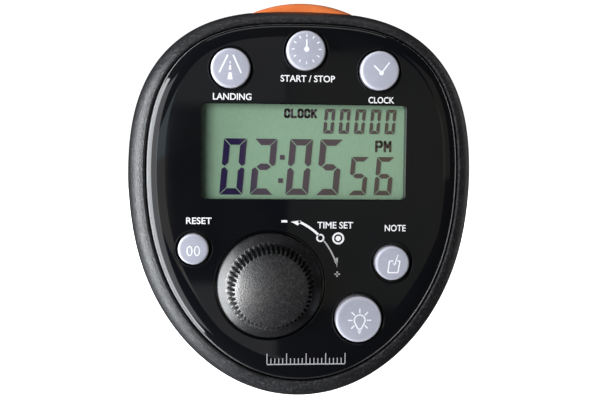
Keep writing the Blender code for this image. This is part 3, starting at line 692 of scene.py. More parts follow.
# ---- face ----
def make_panel():
    """Glossy face whose edge rolls back into the rim, with eased holes and window."""
    roll = [(PANEL_INSET + ROLL_IN * inward, FACE_Y + ROLL_BACK * back, PANEL_RISE + 1.2 * inward)
            for back, inward in fillet(quarter(14))]
    back = span("face_panel")[1].y
    rows = [(8.9, FACE_Y + 2.0, 1.2), (8.4, back, 1.1), (PANEL_INSET + 0.2, back, 1.0),
            (PANEL_INSET, back - 0.2, 1.0), *roll]
    panel = case_solid("face_panel_gloss", rows, closed=False)
    cuts = []
    step_y = FACE_Y + 2.0                 # where each key's hole widens for its skirt
    for name, (radius, gap) in KEYS.items():
        spot = centre(f"{name}_key")
        hole = radius + gap
        profile = lip(hole, FACE_Y) + [(hole, step_y), (hole + 0.6, step_y),
                                       (hole + 0.6, LEDGE_Y + 1.0)]
        cuts.append(turned(f"{name}_hole", profile, spot, 72))
    profile = lip(DIAL_HOLE_R, FACE_Y, 0.3) + [(DIAL_HOLE_R, LEDGE_Y + 1.0)]
    cuts.append(turned("dial_hole", profile, DIAL, 120))
    cuts.append(flared("window_hole", (WINDOW_LOW.x, WINDOW_HIGH.x), (WINDOW_LOW.z, WINDOW_HIGH.z),
                       0.9, ((0.25, FACE_Y - 1.0), (0.25, FACE_Y), (0.13, FACE_Y + 0.04),
                             (0.04, FACE_Y + 0.12), (0.0, FACE_Y + 0.25), (0.0, LEDGE_Y))))
    carve(panel, cuts)
    fuse(panel, [washer("dial_well", (10.4, 13.6), (FACE_Y + 1.9, FACE_Y + 2.4), DIAL, 96)])
    piece(panel, "case", "panel", "panel", "face_panel")


def make_panel_edge():
    """Cut edge of the face: a hairline of light grey resin, a painted highlight all round."""
    proud, thick = 0.02, 0.15
    outside = [(PANEL_INSET - 0.03 + ROLL_IN * inward, FACE_Y - proud + ROLL_BACK * back,
                PANEL_RISE)
               for back, inward in fillet(np.radians((-4.0, 4.0, 11.0, 18.0, 25.0)))]
    inside = [(inset + thick, y + 0.1, up) for inset, y, up in outside[::-1]]
    edge = case_solid("face_panel_edge", [*outside, *inside], closed=True)
    piece(edge, "case", "edge", "panel", "face_panel")


def make_display():
    pane = node_plate("display_pane", "display_window", 1.0, 0.1)
    piece(pane, "case", "clear", "window", "display_window")
    glass = node_plate("lcd_stack", "lcd_glass", 0.4, 0.1, LCD_SUNK)
    piece(glass, "case", "lcd", "lcd", "lcd_glass")


# ---- printed marks ----
def printed(name, shapes, surface, body, paint, slot="white_plastic", thickness=SKIN):
    """Flat (x, z) polygons laid on a surface, each a thin closed prism."""
    points, faces = [], []
    for shape in shapes:
        start, count = len(points), len(shape)
        for lift in (thickness, -SKIN / 2):
            points += [(x, surface(x, z) - lift, z) for x, z in shape]
        faces += [tuple(range(start, start + count)),
                  tuple(range(start + count, start + 2 * count))]
        faces += [(start + i, start + (i + 1) % count, start + count + (i + 1) % count,
                   start + count + i) for i in range(count)]
    piece(solid(name, points, faces), body, paint, slot, weighted=False)


def on_face(x, z):
    return FACE_Y


def on_lcd(x, z):
    return LCD_LOW.y + LCD_SUNK


def stroke(points, width, steps=1):
    """Quads along a polyline."""
    points = [np.asarray(point, float) for point in points]
    shapes = []
    for start, end in zip(points, points[1:]):
        along = (end - start) / np.linalg.norm(end - start)
        side = np.array((-along[1], along[0])) * width / 2
        cuts = [start + (end - start) * k / steps for k in range(steps + 1)]
        shapes += [[a + side, b + side, b - side, a - side] for a, b in zip(cuts, cuts[1:])]
    return shapes


def arc(middle, radius, first, last, steps):
    """Points on a circle between two angles, in degrees from +X towards +Z."""
    angles = np.radians(np.linspace(first, last, steps + 1))
    return [(middle[0] + radius * cos(a), middle[1] + radius * sin(a)) for a in angles]


def band(middle, radius, width, first=0.0, last=360.0, steps=32):
    """Quads of a ring or a part of one."""
    outer = arc(middle, radius + width / 2, first, last, steps)
    inner = arc(middle, radius - width / 2, first, last, steps)
    return [[outer[i], outer[i + 1], inner[i + 1], inner[i]] for i in range(steps)]


def disc(middle, radius, steps=28):
    return [arc(middle, radius, 0.0, 360.0 * (steps - 1) / steps, steps - 1)]


def lettering(name, words, left, right, low, high):
    """White sans-serif capitals that fill a box of the face: left to right, low to high."""
    curve = bpy.data.curves.new(name, "FONT")
    curve.body = words
    curve.offset = 0.014
    curve.extrude = 0.01
    curve.resolution_u = 4
    source = linked(name, curve)
    bpy.context.view_layer.update()
    graph = bpy.context.evaluated_depsgraph_get()
    mesh = bpy.data.meshes.new_from_object(source.evaluated_get(graph))
    bpy.data.objects.remove(source, do_unlink=True)
    points = np.array([v.co for v in mesh.vertices])
    start, size = points.min(0), points.max(0) - points.min(0)
    across = left + (points[:, 0] - start[0]) / size[0] * (right - left)
    up = low + (points[:, 1] - start[1]) / size[1] * (high - low)
    depth = FACE_Y - (points[:, 2] - start[2]) / size[2] * SKIN
    mesh.vertices.foreach_set("co", (np.stack([across, depth, up], 1) * MM).ravel())
    label = linked(name, outward(mesh, weld=1e-7))
    piece(label, "case", "white", "white_plastic", weighted=False)


LABELS = (   # name, words, left, right, low, high
    ("landing_label", "LANDING", -20.7, -12.1, 22.8, 24.3),
    ("chrono_label", "START / STOP", -5.6, 6.7, 27.05, 28.55),
    ("clock_label", "CLOCK", 14.4, 20.3, 22.5, 23.95),
    ("reset_label", "RESET", -26.55, -20.85, -5.1, -3.6),
    ("note_label", "NOTE", 18.65, 23.5, -6.65, -5.15),
    ("time_set_label", "TIME SET", 3.1, 11.3, -6.05, -4.5),
)


def make_labels():
    """Words beside the keys and the dial."""
    for row in LABELS:
        lettering(*row)


def make_dial_marks():
    """Two arrows round the dial, one to a minus and one to a plus, and the push mark."""
    hub, reach = (DIAL.x, DIAL.z), 15.9
    push = (7.93, -8.3)
    plus_x, plus_z, arm = 7.8, -16.5, 0.65
    bold = stroke([(-5.1, -4.42), (-3.75, -4.42)], 0.5)
    bold += band(hub, reach, 0.55, 45.8, 66.5, 14)
    bold += [[(-2.95, -4.52), (-0.7, -4.2), (-0.75, -4.75), (-1.4, -5.35)]]
    bold += band((3.81, -8.2), 0.75, 0.36)
    bold += band(push, 1.17, 0.42) + disc(push, 0.6)
    printed("dial_marks_bold", bold, on_face, "case", "white")
    thin = band(hub, reach, 0.36, 18.0, 39.5, 14)
    thin += [[(7.98, -12.75), (7.35, -12.75), (7.72, -15.05)]]
    thin += stroke([(plus_x - arm, plus_z), (plus_x + arm, plus_z)], 0.34)
    thin += stroke([(plus_x, plus_z + arm), (plus_x, plus_z - arm)], 0.34)
    printed("dial_marks_thin", thin, on_face, "case", "grey")


def make_tick_scale():
    """A plain scale along the bottom of the face; every fifth tick is longer."""
    pitch, foot = 0.9, -37.2
    ticks = []
    for i in range(-9, 12):
        height = 2.4 if i % 5 == 1 else 1.3
        ticks += stroke([(pitch * i, foot), (pitch * i, foot + height)], 0.2)
    ticks += stroke([(-9 * pitch, foot - 0.1), (11 * pitch, foot - 0.1)], 0.24)
    printed("tick_scale", ticks, on_face, "case", "grey")


# ---- display contents ----
SLANT = tan(radians(4.7))
SEGMENTS_OF = {"0": "abcdef", "2": "abged", "5": "afgcd", "6": "afgecd"}


def shrunk(shape, by):
    """A convex polygon with every side moved in by a distance."""
    shape = np.asarray(shape, float)
    middle = shape.mean(0)
    sides = []
    for start, end in zip(shape, np.roll(shape, -1, 0)):
        normal = np.array((end[1] - start[1], start[0] - end[0]))
        normal /= np.linalg.norm(normal)
        if normal @ (middle - start) < 0:
            normal = -normal
        sides.append((normal, normal @ start + by))
    corners = []
    for (n1, d1), (n2, d2) in zip([sides[-1]] + sides[:-1], sides):
        corners.append(np.linalg.solve(np.array((n1, n2)), (d1, d2)))
    return corners


def seven_segment(figure, x, z, width, height, thick, gap):
    """Lit segments of one figure, with mitred ends and a lean to the right."""
    w, h, t = width, height, thick
    mid = h / 2
    shapes = {
        "a": [(0, h), (w, h), (w - t, h - t), (t, h - t)],
        "b": [(w, h), (w - t, h - t), (w - t, mid + 0.55 * t), (w - 0.5 * t, mid),
              (w, mid + 0.3 * t)],
        "c": [(w, 0), (w - t, t), (w - t, mid - 0.55 * t), (w - 0.5 * t, mid),
              (w, mid - 0.3 * t)],
        "d": [(0, 0), (w, 0), (w - t, t), (t, t)],
        "e": [(0, 0), (t, t), (t, mid - 0.55 * t), (0.5 * t, mid), (0, mid - 0.3 * t)],
        "f": [(0, h), (t, h - t), (t, mid + 0.55 * t), (0.5 * t, mid), (0, mid + 0.3 * t)],
        "g": [(0.55 * t, mid), (1.15 * t, mid + 0.5 * t), (w - 1.15 * t, mid + 0.5 * t),
              (w - 0.55 * t, mid), (w - 1.15 * t, mid - 0.5 * t), (1.15 * t, mid - 0.5 * t)],
    }
    return [[(x + a + SLANT * b, z + b) for a, b in shrunk(shapes[key], gap / 2)]
            for key in SEGMENTS_OF[figure]]


# strokes of the display's letters, on a unit square
LETTERS = {
    "C": [[(1, 0.7), (1, 0.85), (0.8, 1), (0.2, 1), (0, 0.85), (0, 0.15), (0.2, 0), (0.8, 0),
           (1, 0.15), (1, 0.3)]],
    "O": [[(0.2, 1), (0.8, 1), (1, 0.85), (1, 0.15), (0.8, 0), (0.2, 0), (0, 0.15), (0, 0.85),
           (0.2, 1)]],
    "L": [[(0, 1), (0, 0), (1, 0)]],
    "K": [[(0, 1), (0, 0)], [(1, 1), (0.1, 0.45)], [(0.35, 0.6), (1, 0)]],
    "P": [[(0, 0), (0, 1), (0.8, 1), (1, 0.87), (1, 0.6), (0.8, 0.46), (0, 0.46)]],
    "M": [[(0, 0), (0, 1), (0.5, 0.4), (1, 1), (1, 0)]],
}


def display_word(word, x, z, width, height, gap, thick):
    """Bold condensed capitals of the display; x and z are the lower left corner."""
    shapes = []
    for i, letter in enumerate(word):
        left = x + i * (width + gap)
        for path in LETTERS[letter]:
            points = [(left + thick / 2 + a * (width - thick), z + thick / 2 + b * (height - thick))
                      for a, b in path]
            shapes += stroke(points, thick)
            for point in points:
                shapes += disc(point, thick / 2, 12)
    return shapes


def make_figures():
    """Hours and minutes, seconds, a row of small noughts and two words."""
    large = (5.45, 13.05, 1.66, 0.2)      # width, height, thickness and gap of the segments
    medium = (4.3, 9.05, 1.25, 0.18)
    small = (2.5, 5.8, 0.9, 0.13)
    dot = 1.08
    shapes = []
    for figure, x in (("0", -19.3), ("2", -12.32), ("0", -4.15), ("5", 2.85)):
        shapes += seven_segment(figure, x, 1.28, *large)
    for x, z in ((-4.8, 10.0), (-5.15, 4.65)):
        shapes += stroke([(x - dot / 2, z), (x + dot / 2, z)], dot)
    for figure, x in (("5", 10.45), ("6", 16.4)):
        shapes += seven_segment(figure, x, 1.32, *medium)
    for i in range(5):
        shapes += seven_segment("0", 4.45 + 3.57 * i, 15.5, *small)
    printed("display_figures", shapes, on_lcd, "case", "ink", "lcd", 0.05)
    words = display_word("CLOCK", -4.5, 18.98, 1.44, 2.22, 0.1, 0.54)
    words += display_word("PM", 16.7, 11.34, 1.85, 2.76, 0.14, 0.58)
    printed("display_words", words, on_lcd, "case", "ink", "lcd", 0.05)
    shadow = [[(x + 0.22, z - 0.1) for x, z in shape] for shape in shapes]
    printed("display_figure_shade", shadow, on_lcd, "case", "shade", "lcd", 0.012)


# ---- keys ----
KEY_DOME = 0.16              # how far a key's top falls from its middle to its edge
KEY_ROUND = 0.55             # radius of that edge


def crown(name):
    """A function that gives the depth of a key's domed top at a distance from its middle."""
    radius = KEYS[name][0]
    top = span(f"{name}_key")[0].y

    def height(away):
        y = top + KEY_DOME * (away / radius) ** 2
        past = max(0.0, away - (radius - KEY_ROUND))
        return y + KEY_ROUND - sqrt(max(KEY_ROUND * KEY_ROUND - past * past, 0.0))
    return height


def make_key(name):
    """Key: a cap with its stem, a dark rubber skirt behind it that paints the shade in the gap round
    the cap, and the mark on its top.
    """
    radius, gap = KEYS[name]
    height = crown(name)
    spot = centre(f"{name}_key")
    reach = [radius * share for share in (0.02, 0.2, 0.4, 0.6, 0.75)]
    reach += [radius - KEY_ROUND * (1 - sin(a)) for a in np.linspace(0.0, 1.5, 9)]
    back, stem_r = -23.6, 1.1
    profile = [(away, height(away)) for away in reach]
    profile += [(radius, back), (stem_r, back), (stem_r, -19.8)]
    cap = turned(f"{name}_cap", profile, spot, 72)
    body = f"{name}_button"
    piece(cap, body, "key", "key", f"{name}_key")
    # painted shade: the skirt is dark rubber so that the gap round the cap reads as shadow
    skirt = washer(f"{name}_skirt", (1.3, radius + gap + GAP), (-23.7, -22.9), spot, 48)
    piece(skirt, body, "rubber", "rubber", f"{name}_key")

    def surface(x, z):
        return height(hypot(x - spot.x, z - spot.z))
    shapes = [[(spot.x + radius * a, spot.z + radius * b) for a, b in shape]
              for shape in ICONS[name]()]
    printed(f"{name}_icon", shapes, surface, body, "icon", "white_plastic")


def landing_icon():
    """A runway seen on approach."""
    shapes = stroke([(-0.15, 0.66), (-0.58, -0.23)], 0.085, 5)
    shapes += stroke([(0.12, 0.66), (0.53, -0.25)], 0.085, 5)
    for top, bottom, upper, lower in ((0.34, 0.22, 0.05, 0.07), (0.15, -0.09, 0.07, 0.14),
                                      (-0.22, -0.57, 0.14, 0.27)):
        shapes.append([(-0.03 - upper / 2, top), (-0.03 + upper / 2, top),
                       (-0.03 + lower / 2, bottom), (-0.03 - lower / 2, bottom)])
    return shapes


def chrono_icon():
    """A stopwatch dial with its hand straight up."""
    middle = np.array((0.02, 0.06))
    shapes = disc(middle, 0.135) + stroke([middle, middle + (0.0, 0.5)], 0.07, 3)
    for hour in range(12):
        turn = tau * hour / 12
        way = np.array((sin(turn), cos(turn)))
        shapes += stroke([middle + 0.61 * way, middle + 0.76 * way], 0.055)
    return shapes


def clock_icon():
    middle = (0.06, -0.12)
    return (disc(middle, 0.12) + stroke([middle, (-0.33, 0.26)], 0.08, 3)
            + stroke([middle, (0.47, 0.42)], 0.07, 4))


def reset_icon():
    """Two thin noughts."""
    shapes = []
    for side in (-0.24, 0.24):
        loop = [(side + 0.16 * cos(a), -0.1 + 0.3 * sin(a))
                for a in np.linspace(0.0, tau, 25)]
        shapes += stroke(loop, 0.075)
    return shapes


def note_icon():
    """A leaning sheet with a pen point on its top edge."""
    shapes = stroke([(0.02, 0.15), (-0.2, 0.15), (-0.28, -0.54), (0.31, -0.54), (0.42, 0.15),
                     (0.26, 0.15)], 0.08, 2)
    shapes += stroke([(0.31, 0.52), (0.19, 0.17), (0.1, -0.1)], 0.06, 2)
    return shapes + stroke([(0.0, 0.04), (0.1, -0.11), (0.2, 0.05)], 0.035)


def light_icon():
    """A lamp with its rays."""
    middle = np.array((0.03, -0.03))
    bulb = arc(middle, 0.235, -28.0, 208.0, 24)
    outline = [(middle[0] + 0.075, -0.4), *bulb, (middle[0] - 0.075, -0.4)]
    shapes = stroke(outline, 0.06)
    shapes += stroke([(middle[0] - 0.08, -0.41), (middle[0] + 0.08, -0.41)], 0.05)
    shapes += stroke([(middle[0] - 0.08, -0.49), (middle[0] + 0.08, -0.49)], 0.05)
    shapes.append([(middle[0] - 0.08, -0.545), (middle[0] + 0.08, -0.545), (middle[0], -0.63)])
    for degrees in (-45, 0, 45, 90, 135, 180, 225):
        turn = radians(degrees)
        way = np.array((cos(turn), sin(turn)))
        shapes += stroke([middle + 0.31 * way, middle + 0.51 * way], 0.055, 2)
    return shapes


ICONS = {"landing": landing_icon, "chrono": chrono_icon, "clock": clock_icon,
         "reset": reset_icon, "note": note_icon, "light": light_icon}


def make_bar():
    """Orange start/stop bar: a smooth lens that dies away at both ends."""
    def wall(y):
        """Inset of the case's shoulder at a depth."""
        return np.interp(y, (-20.9, -18.6, -15.5, -12.0), (1.1, 0.45, 0.12, 0.0))

    proud = BAR_HIGH.z - rim(0.0, 0.0, 0.0)[0, 2]
    low, high = BAR_LOW.y, BAR_HIGH.y
    corner = 0.1                          # share of the length with rounded corners
    root = 3.2                            # inset of the bar's inner face
    front_round, back_round = 1.5, 1.2    # depth of its rounded front and back edges
    turn = fillet(quarter(8))
    middle = list(np.linspace(-1.0 + corner, 1.0 - corner, 41))
    tail = [1.0 - corner + corner * sin(a) for a in np.linspace(0.3, pi / 2, 6)]
    rings = []
    for share in [-t for t in tail[::-1]] + middle + tail:
        outer = -proud * (1 - share * share)
        drop = 0.75 + 0.5 * (1 - share * share)
        past = max(0.0, (abs(share) - 1.0 + corner) / corner)
        trim = 1.3 * (1 - sqrt(max(1 - past * past, 0.0)))
        front = [(outer + drop * under, low + trim + front_round * deep)
                 for under, deep in turn]
        back = [(outer + drop * under, high - trim - back_round * deep)
                for under, deep in turn[::-1]]
        section = [(inset + share * share * wall(y), y) for inset, y in front + back]
        section += [(root, high - trim), (root, low + trim)]
        rings.append([rim(share * BAR_HALF_TURN, inset, y)[0] for inset, y in section])
    bar = skin("start_stop_bar_cap", rings)
    flange = bar_strip("flange", BAR_HALF_TURN + radians(1.56), 2.6, 3.8,
                       (low + 2.1, high - 0.1))
    stem = skin("stem", [np.insert(circle(0.7, 24), 2, z, 1) + (0.0, -13.75, 0.0)
                         for z in (BAR_LOW.z, 41.5)])
    fuse(bar, [flange, stem])
    piece(bar, "start_stop_button", "orange", "orange", "start_stop_bar")


# ---- dial ----
FLUTES = 52
# one flute: share of its pitch, and share of the depth there
FLUTE = ((0.0, 0.0), (0.17, 0.0), (0.34, 0.0), (0.4, 0.85), (0.47, 1.0), (0.67, 1.0), (0.87, 1.0),
         (0.94, 0.85))


def make_dial():
    """Push-and-turn dial: flared smooth skirt, fluted crown and a domed grained top."""
    top = span("dial_knob")[0].y
    skirt = smooth_path([(SKIRT_R, FACE_Y - 0.55), (SKIRT_R - 0.18, FACE_Y - 0.95),
                         (SKIRT_R - 0.8, FACE_Y - 1.5), (10.35, FACE_Y - 2.15)], 4)
    # rows are (radius, y, depth of the flutes)
    rows = [(5.1, FACE_Y + 1.0, 0.0), (SKIRT_R - 0.2, FACE_Y + 1.0, 0.0),
            (SKIRT_R, FACE_Y + 0.8, 0.0)]
    rows += [(radius, y, 0.0) for radius, y in skirt]
    dome, dome_r = 1.18, 7.8
    rows += [(10.1, FACE_Y - 2.32, 0.0), (9.95, FACE_Y - 2.42, 0.0), (9.8, FACE_Y - 2.5, 0.5),
             (9.75, FACE_Y - 2.6, 0.8), (9.3, FACE_Y - 5.2, 0.8), (8.95, top + 2.2, 0.8),
             (8.75, top + 1.8, 0.75), (8.55, top + 1.54, 0.5), (8.3, top + 1.38, 0.2),
             (8.05, top + 1.28, 0.0), (dome_r, top + dome, 0.0)]
    rows += [(radius, top + dome * (radius / dome_r) ** 2, 0.0)
             for radius in (7.0, 6.0, 5.0, 4.0, 3.0, 2.0, 1.2, 0.6)]
    turns = [tau * (i + share) / FLUTES for i in range(FLUTES) for share, _ in FLUTE]
    depths = [depth for _ in range(FLUTES) for _, depth in FLUTE]
    rings = []
    for radius, y, depth in rows:
        reach = radius - depth * np.array(depths)
        rings.append(np.stack([DIAL.x + reach * np.cos(turns), np.full(len(turns), y),
                               DIAL.z + reach * np.sin(turns)], 1))
    knob = skin("dial_cap", rings)
    bore = ((5.0, -20.0), (5.0, -27.3), (3.35, -27.3), (3.35, -33.5))
    carve(knob, [turned("bore", bore, DIAL, 40)])
    piece(knob, "dial", "dial", "dial", "dial_knob", crease=40.0)


# ---- back ----
def make_screws():
    """Casing screws with a domed head and a cross recess."""
    low, high = span("casing_screw_1")
    head = (high.x - low.x) / 2
    for i, spot in enumerate(SCREWS, 1):
        profile = [(0.3, high.y), (1.0, high.y - 0.03), (1.6, high.y - 0.14), (head, high.y - 0.55),
                   (head, -1.6), (1.0, -1.6), (1.0, low.y)]
        screw = turned(f"casing_screw_{i}_fine", profile, spot, 40)
        arms = [plate(f"arm_{k}", (spot.x - a, spot.x + a), (spot.z - b, spot.z + b),
                      (high.y - 0.7, high.y + 1.0), 0.1)
                for k, (a, b) in enumerate(((1.15, 0.27), (0.27, 1.15)))]
        carve(screw, arms)
        piece(screw, "case", "blackened", "steel", f"casing_screw_{i}")


def grooves(name, half, first, pitch, y):
    """Cutters for four grooves across a surface, up from the height of the first."""
    return [plate(f"{name}_{i}", (-half, half), (first + pitch * i, first + 0.7 + pitch * i), y, 0.34)
            for i in range(4)]


def make_door():
    """Battery door: eased edges, and grooves for a finger."""
    door = node_plate("battery_door_cover", "battery_door", 1.0, 0.22)
    carve(door, grooves("groove", 7.0, DOOR_LOW.z + 2.4, 1.5, (RECESS_Y, 1.0)))
    piece(door, "door", "casing", "casing", "battery_door")


def make_clip():
    """Spring clip: a curved lever on its pin, a rubber pad and a torsion spring."""
    low, high = span("clip_lever")
    back = smooth_path([(6.95, high.z), (7.35, 31.0), (high.y, 24.0), (7.4, 15.0), (6.95, 9.8),
                        (4.1, 4.95), (3.1, 4.15), (2.2, low.z)], 6)
    front = smooth_path([(low.y, 4.6), (low.y, 6.3), (5.0, 9.7), (5.38, 13.0), (5.42, 31.0),
                         (5.05, high.z)], 6)
    lever = slab("clip_lever_fine", [*back, *front], (-high.x, high.x), 0.35)
    fuse(lever, ears("lug", 6.2, 2.1, (6.2, 7.9), 0.2))
    pin_hole = turned_about_x("pin_hole", ((1.25, -9.0), (1.25, 9.0)), PIN, 28)
    carve(lever, [pin_hole, *grooves("thumb", 6.5, 31.0, 1.6, (6.5, 9.0))])
    piece(lever, "clip", "casing", "casing", "clip_lever")
    pad = node_plate("clip_pad_fine", "clip_pad", 0.6, 0.2)
    piece(pad, "clip", "rubber", "rubber", "clip_pad")
    low, high = span("clip_pin")
    head, head_r, shank_r = 0.8, 1.5, 0.9
    left, right = low.x + head, high.x - head
    profile = [(head_r - ease, x) for x, ease in eased((low.x, left), 0.25)]
    profile += [(shank_r, left), (shank_r, right)]
    profile += [(head_r - ease, x) for x, ease in eased((right, high.x), 0.25)]
    pin = turned_about_x("clip_pin_fine", profile, PIN, 32)
    piece(pin, "case", "steel", "steel", "clip_pin")
    make_clip_spring()


def make_clip_spring():
    """The coil stays with the case; the leg under the lever moves with the clip."""
    radius, half, turns, wire = 1.55, 3.6, 5.0, 0.25    # coil radius, half length, wire radius
    steps = np.linspace(0.0, 1.0, 161)
    angle = 0.5 * pi + tau * turns * steps
    coil = np.stack([-half + 2 * half * steps, PIN.y + radius * np.cos(angle),
                     PIN.z + radius * np.sin(angle)], 1)
    leg_z = PIN.z + 7.0
    first = np.array([(-half, PIN.y - 2.3, leg_z), (-half, PIN.y - 1.6, PIN.z + 4.5),
                      (-half, PIN.y - 0.6, PIN.z + 2.2)])
    last = np.array([(half, PIN.y + 0.5, PIN.z + 2.2), (half, PIN.y + 1.2, PIN.z + 4.5),
                     (half, PIN.y + 1.7, leg_z)])
    fixed = tube("clip_spring_coil", [*first, *coil], wire)
    piece(fixed, "case", "steel", "steel", "clip_spring")
    moving = tube("clip_spring_leg", [*coil[-12:], *last], wire)
    piece(moving, "clip", "steel", "steel", "clip_spring")


# ---- batteries ----
def make_cells():
    """Two AAA cells that lie opposite ways, and the coned springs that press on them."""
    for i, side in ((1, 1), (2, -1)):
        low, high = span(f"battery_{i}")
        spot = centre(f"battery_{i}")
        radius = (high.y - low.y) / 2
        nub = high.x if side > 0 else -low.x
        flat = low.x if side > 0 else -high.x
        profile = [(0.4, nub), (1.6, nub - 0.05), (1.9, nub - 0.35), (1.9, nub - 1.0),
                   (3.4, nub - 1.05), (4.3, nub - 1.0), (4.9, nub - 1.1), (radius, nub - 1.6),
                   (radius, flat + 0.5), (radius - 0.2, flat + 0.15), (radius - 0.6, flat),
                   (0.4, flat)]
        profile = [(away, side * x) for away, x in profile]
        cell = turned_about_x(f"battery_{i}_cell", profile, spot, 48)
        piece(cell, "case", "cell", "cell", f"battery_{i}")
    for side, name in ((-1, "left"), (1, "right")):
        node = f"battery_spring_{name}"
        spot = centre(node)
        steps = np.linspace(0.0, 1.0, 121)
        reach = 3.2 - 1.2 * steps             # the coil narrows towards the cell
        angle = tau * 3.0 * steps
        across = side * (23.75 - 2.7 * steps)
        coil = np.stack([across, centre("battery_1").y + reach * np.cos(angle),
                         spot.z + reach * np.sin(angle)], 1)
        spring = tube(f"{node}_fine", coil, 0.32)
        piece(spring, "case", "steel", "steel", node)


# ---- finishes of the CAD nodes that stay ----
NODE_PAINT = {
    "lcd_frame": "inner", "backlight_plate": "pale", "backlight_led_left": "lamp",
    "backlight_led_right": "lamp", "zebra_strip_upper": "rubber", "zebra_strip_lower": "rubber",
    "main_board": "board", "controller_chip": "inner", "clock_crystal": "steel",
    "smoothing_capacitor": "sleeve", "buzzer": "inner", "start_stop_switch": "inner",
    "encoder_shaft": "steel", "encoder_plunger": "pale", "encoder_bushing": "brass",
    "encoder_body": "inner", "battery_contact_negative": "steel",
    "battery_contact_positive": "steel", "battery_bridge": "steel",
}


def paint_nodes():
    """Give every CAD node that still shows its own finish."""
    for name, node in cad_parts.items():
        if node.hide_render:
            continue
        if name.startswith("board_screw"):
            finish = "steel"
        elif name.endswith("_switch"):
            finish = "inner"
        else:
            finish = NODE_PAINT[name]
        for slot in node.material_slots:
            slot.material = PAINT[finish]


# ---- stage ----
WHITE = (1.0, 1.0, 1.0)
ROOM = (   # name, place, aim, width, height, radiance, colour
    ("window_side", (-517, -80, -161), (0, -80, -161), 330, 960, 10.0, (0.94, 0.97, 1.0)),
    ("window_near", (-452, -400, -127), (0, -20, -127), 300, 800, 2.0, (0.97, 0.98, 1.0)),
    ("window_front_upper", (-319, -726, 40), (-319, 0, 40), 500, 80, 1.2, (0.72, 0.9, 1.0)),
    ("window_front_lower", (-319, -726, -86), (-319, 0, -86), 500, 172, 0.7, (1.0, 0.95, 0.86)),
    ("room_right", (309, -826, -30), (309, 0, -30), 500, 280, 0.17, (1.0, 1.0, 0.78)),
    ("room_far_right", (551, -660, 169), (0, -20, 0), 460, 420, 0.22, (1.0, 0.96, 0.8)),
    ("room_upper", (-7, -826, 101), (-7, 0, 101), 126, 100, 0.3, WHITE),
    ("room_lower", (-44, -826, -244), (-44, 0, -244), 184, 200, 0.42, WHITE),
    ("right_strip", (400, 200, 60), (0, -20, 0), 60, 500, 1.5, WHITE),
    ("top_strip", (0, 60, 600), (0, -20, 0), 600, 160, 1.0, WHITE),
)


def light_only(lamp, *names, state="INCLUDE"):
    """Let lamp light only the named objects or, with state EXCLUDE, all but them."""
    receivers = bpy.data.collections.new(f"{lamp.name}_receivers")
    for name in names:
        receivers.objects.link(bpy.data.objects[name])
        receivers.collection_objects[-1].light_linking.link_state = state
    lamp.light_linking.receiver_collection = receivers


def make_floor():
    """A plain pale floor under the object. It lights nothing and is mirrored by nothing."""
    drop = span("rear_casing")[0].z - 14.0
    reach = 6000.0
    points = [(-reach, -reach, drop), (reach, -reach, drop), (reach, reach, drop),
              (-reach, reach, drop)]
    floor = solid("floor", points, [(0, 1, 2, 3)])
    paint = Finish("floor_paint", (0.9, 0.9, 0.9), 0.8).mottle((0.88, 0.88, 0.88), 0.01)
    floor.data.materials.append(paint.material)
    floor.visible_glossy = False
    floor.visible_diffuse = False
    floor.visible_shadow = False
    lamp = bpy.data.lights.new("floor_sun", "SUN")
    lamp.energy = 4.4
    lamp.angle = radians(50.0)
    light_only(linked("floor_sun", lamp), "floor")


def make_world():
    """A pale surround that the lens sees as white, and that lights the object only softly."""
    world = bpy.data.worlds.new("surround")
    world.use_nodes = True
    tree = world.node_tree
    soft, white = tree.nodes["Background"], tree.nodes.new("ShaderNodeBackground")
    for shade, colour, strength in ((soft, (0.95, 0.97, 1.0), 0.05), (white, WHITE, 1.1)):
        shade.inputs["Color"].default_value = (*colour, 1.0)
        shade.inputs["Strength"].default_value = strength
    path = tree.nodes.new("ShaderNodeLightPath")
    mixed = tree.nodes.new("ShaderNodeMixShader")
    tree.links.new(path.outputs["Is Camera Ray"], mixed.inputs[0])
    tree.links.new(soft.outputs[0], mixed.inputs[1])
    tree.links.new(white.outputs[0], mixed.inputs[2])
    tree.links.new(mixed.outputs[0], tree.nodes["World Output"].inputs["Surface"])
    bpy.context.scene.world = world


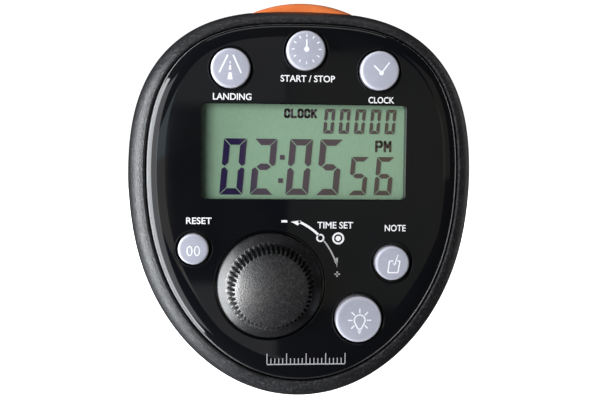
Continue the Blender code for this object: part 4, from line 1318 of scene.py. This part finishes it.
def panel_light(name, place, aim, width, height, radiance, colour=WHITE):
    """A soft rectangular light at place, in millimetres, turned towards aim."""
    lamp = bpy.data.lights.new(name, "AREA")
    lamp.shape = "RECTANGLE"
    lamp.size = width * MM
    lamp.size_y = height * MM
    lamp.energy = radiance * pi * lamp.size * lamp.size_y
    lamp.color = colour
    obj = linked(name, lamp)
    place, aim = Vector(place) * MM, Vector(aim) * MM
    obj.location = place
    obj.rotation_euler = (aim - place).to_track_quat("-Z", "Y").to_euler()
    return obj


def make_lights():
    """A tall window to the left, what the face mirrors of the room, and a weak right side."""
    for row in ROOM:
        panel_light(*row)
    fill = panel_light("front_fill", (-430, -800, 90), (0, 0, 0), 500, 500, 9.5,
                       (1.0, 1.0, 0.99))
    fill.visible_glossy = False
    glance = panel_light("dial_glance", (-530, -540, -100), (0, -20, 0), 200, 360, 50.0)
    light_only(glance, "dial_cap")
    edge_right = panel_light("edge_right", (440, -300, 80), (0, -20, 0), 200, 400, 6.0)
    light_only(edge_right, "face_panel_edge")
    back = panel_light("back_light", (-200, 900, 500), (0, 0, 0), 700, 500, 14.0)
    light_only(back, "front_casing_shell", "start_stop_bar_cap", state="EXCLUDE")


def make_camera():
    """A view from a little left of the middle, level with the display."""
    data = bpy.data.cameras.new("camera")
    data.sensor_width = 36.0
    data.lens = 55.6
    data.clip_start = 0.01
    camera = linked("camera", data)
    yaw, pitch, roll = (radians(value) for value in (5.22, -3.7, 0.64))
    ahead = Vector((sin(yaw) * cos(pitch), cos(yaw) * cos(pitch),
                    sin(pitch)))
    side = ahead.cross(Vector((0.0, 0.0, 1.0))).normalized()
    up = side.cross(ahead)
    tilted = side * cos(roll) + up * sin(roll)
    upright = up * cos(roll) - side * sin(roll)
    turn = Matrix((tilted, upright, -ahead)).transposed()
    place = Matrix.Translation(Vector((-20.0, FACE_Y - 208.8, 14.0)) * MM)
    camera.matrix_world = place @ turn.to_4x4()
    bpy.context.scene.camera = camera


def main():
    make_front_casing()
    make_rear_casing()
    make_seal()
    make_panel()
    make_panel_edge()
    make_display()
    make_labels()
    make_dial_marks()
    make_tick_scale()
    make_figures()
    for name in KEYS:
        make_key(name)
    make_bar()
    make_dial()
    make_screws()
    make_door()
    make_clip()
    make_cells()
    paint_nodes()
    make_floor()
    make_world()
    make_lights()
    make_camera()
    bpy.context.scene.view_settings.view_transform = "Standard"


main()
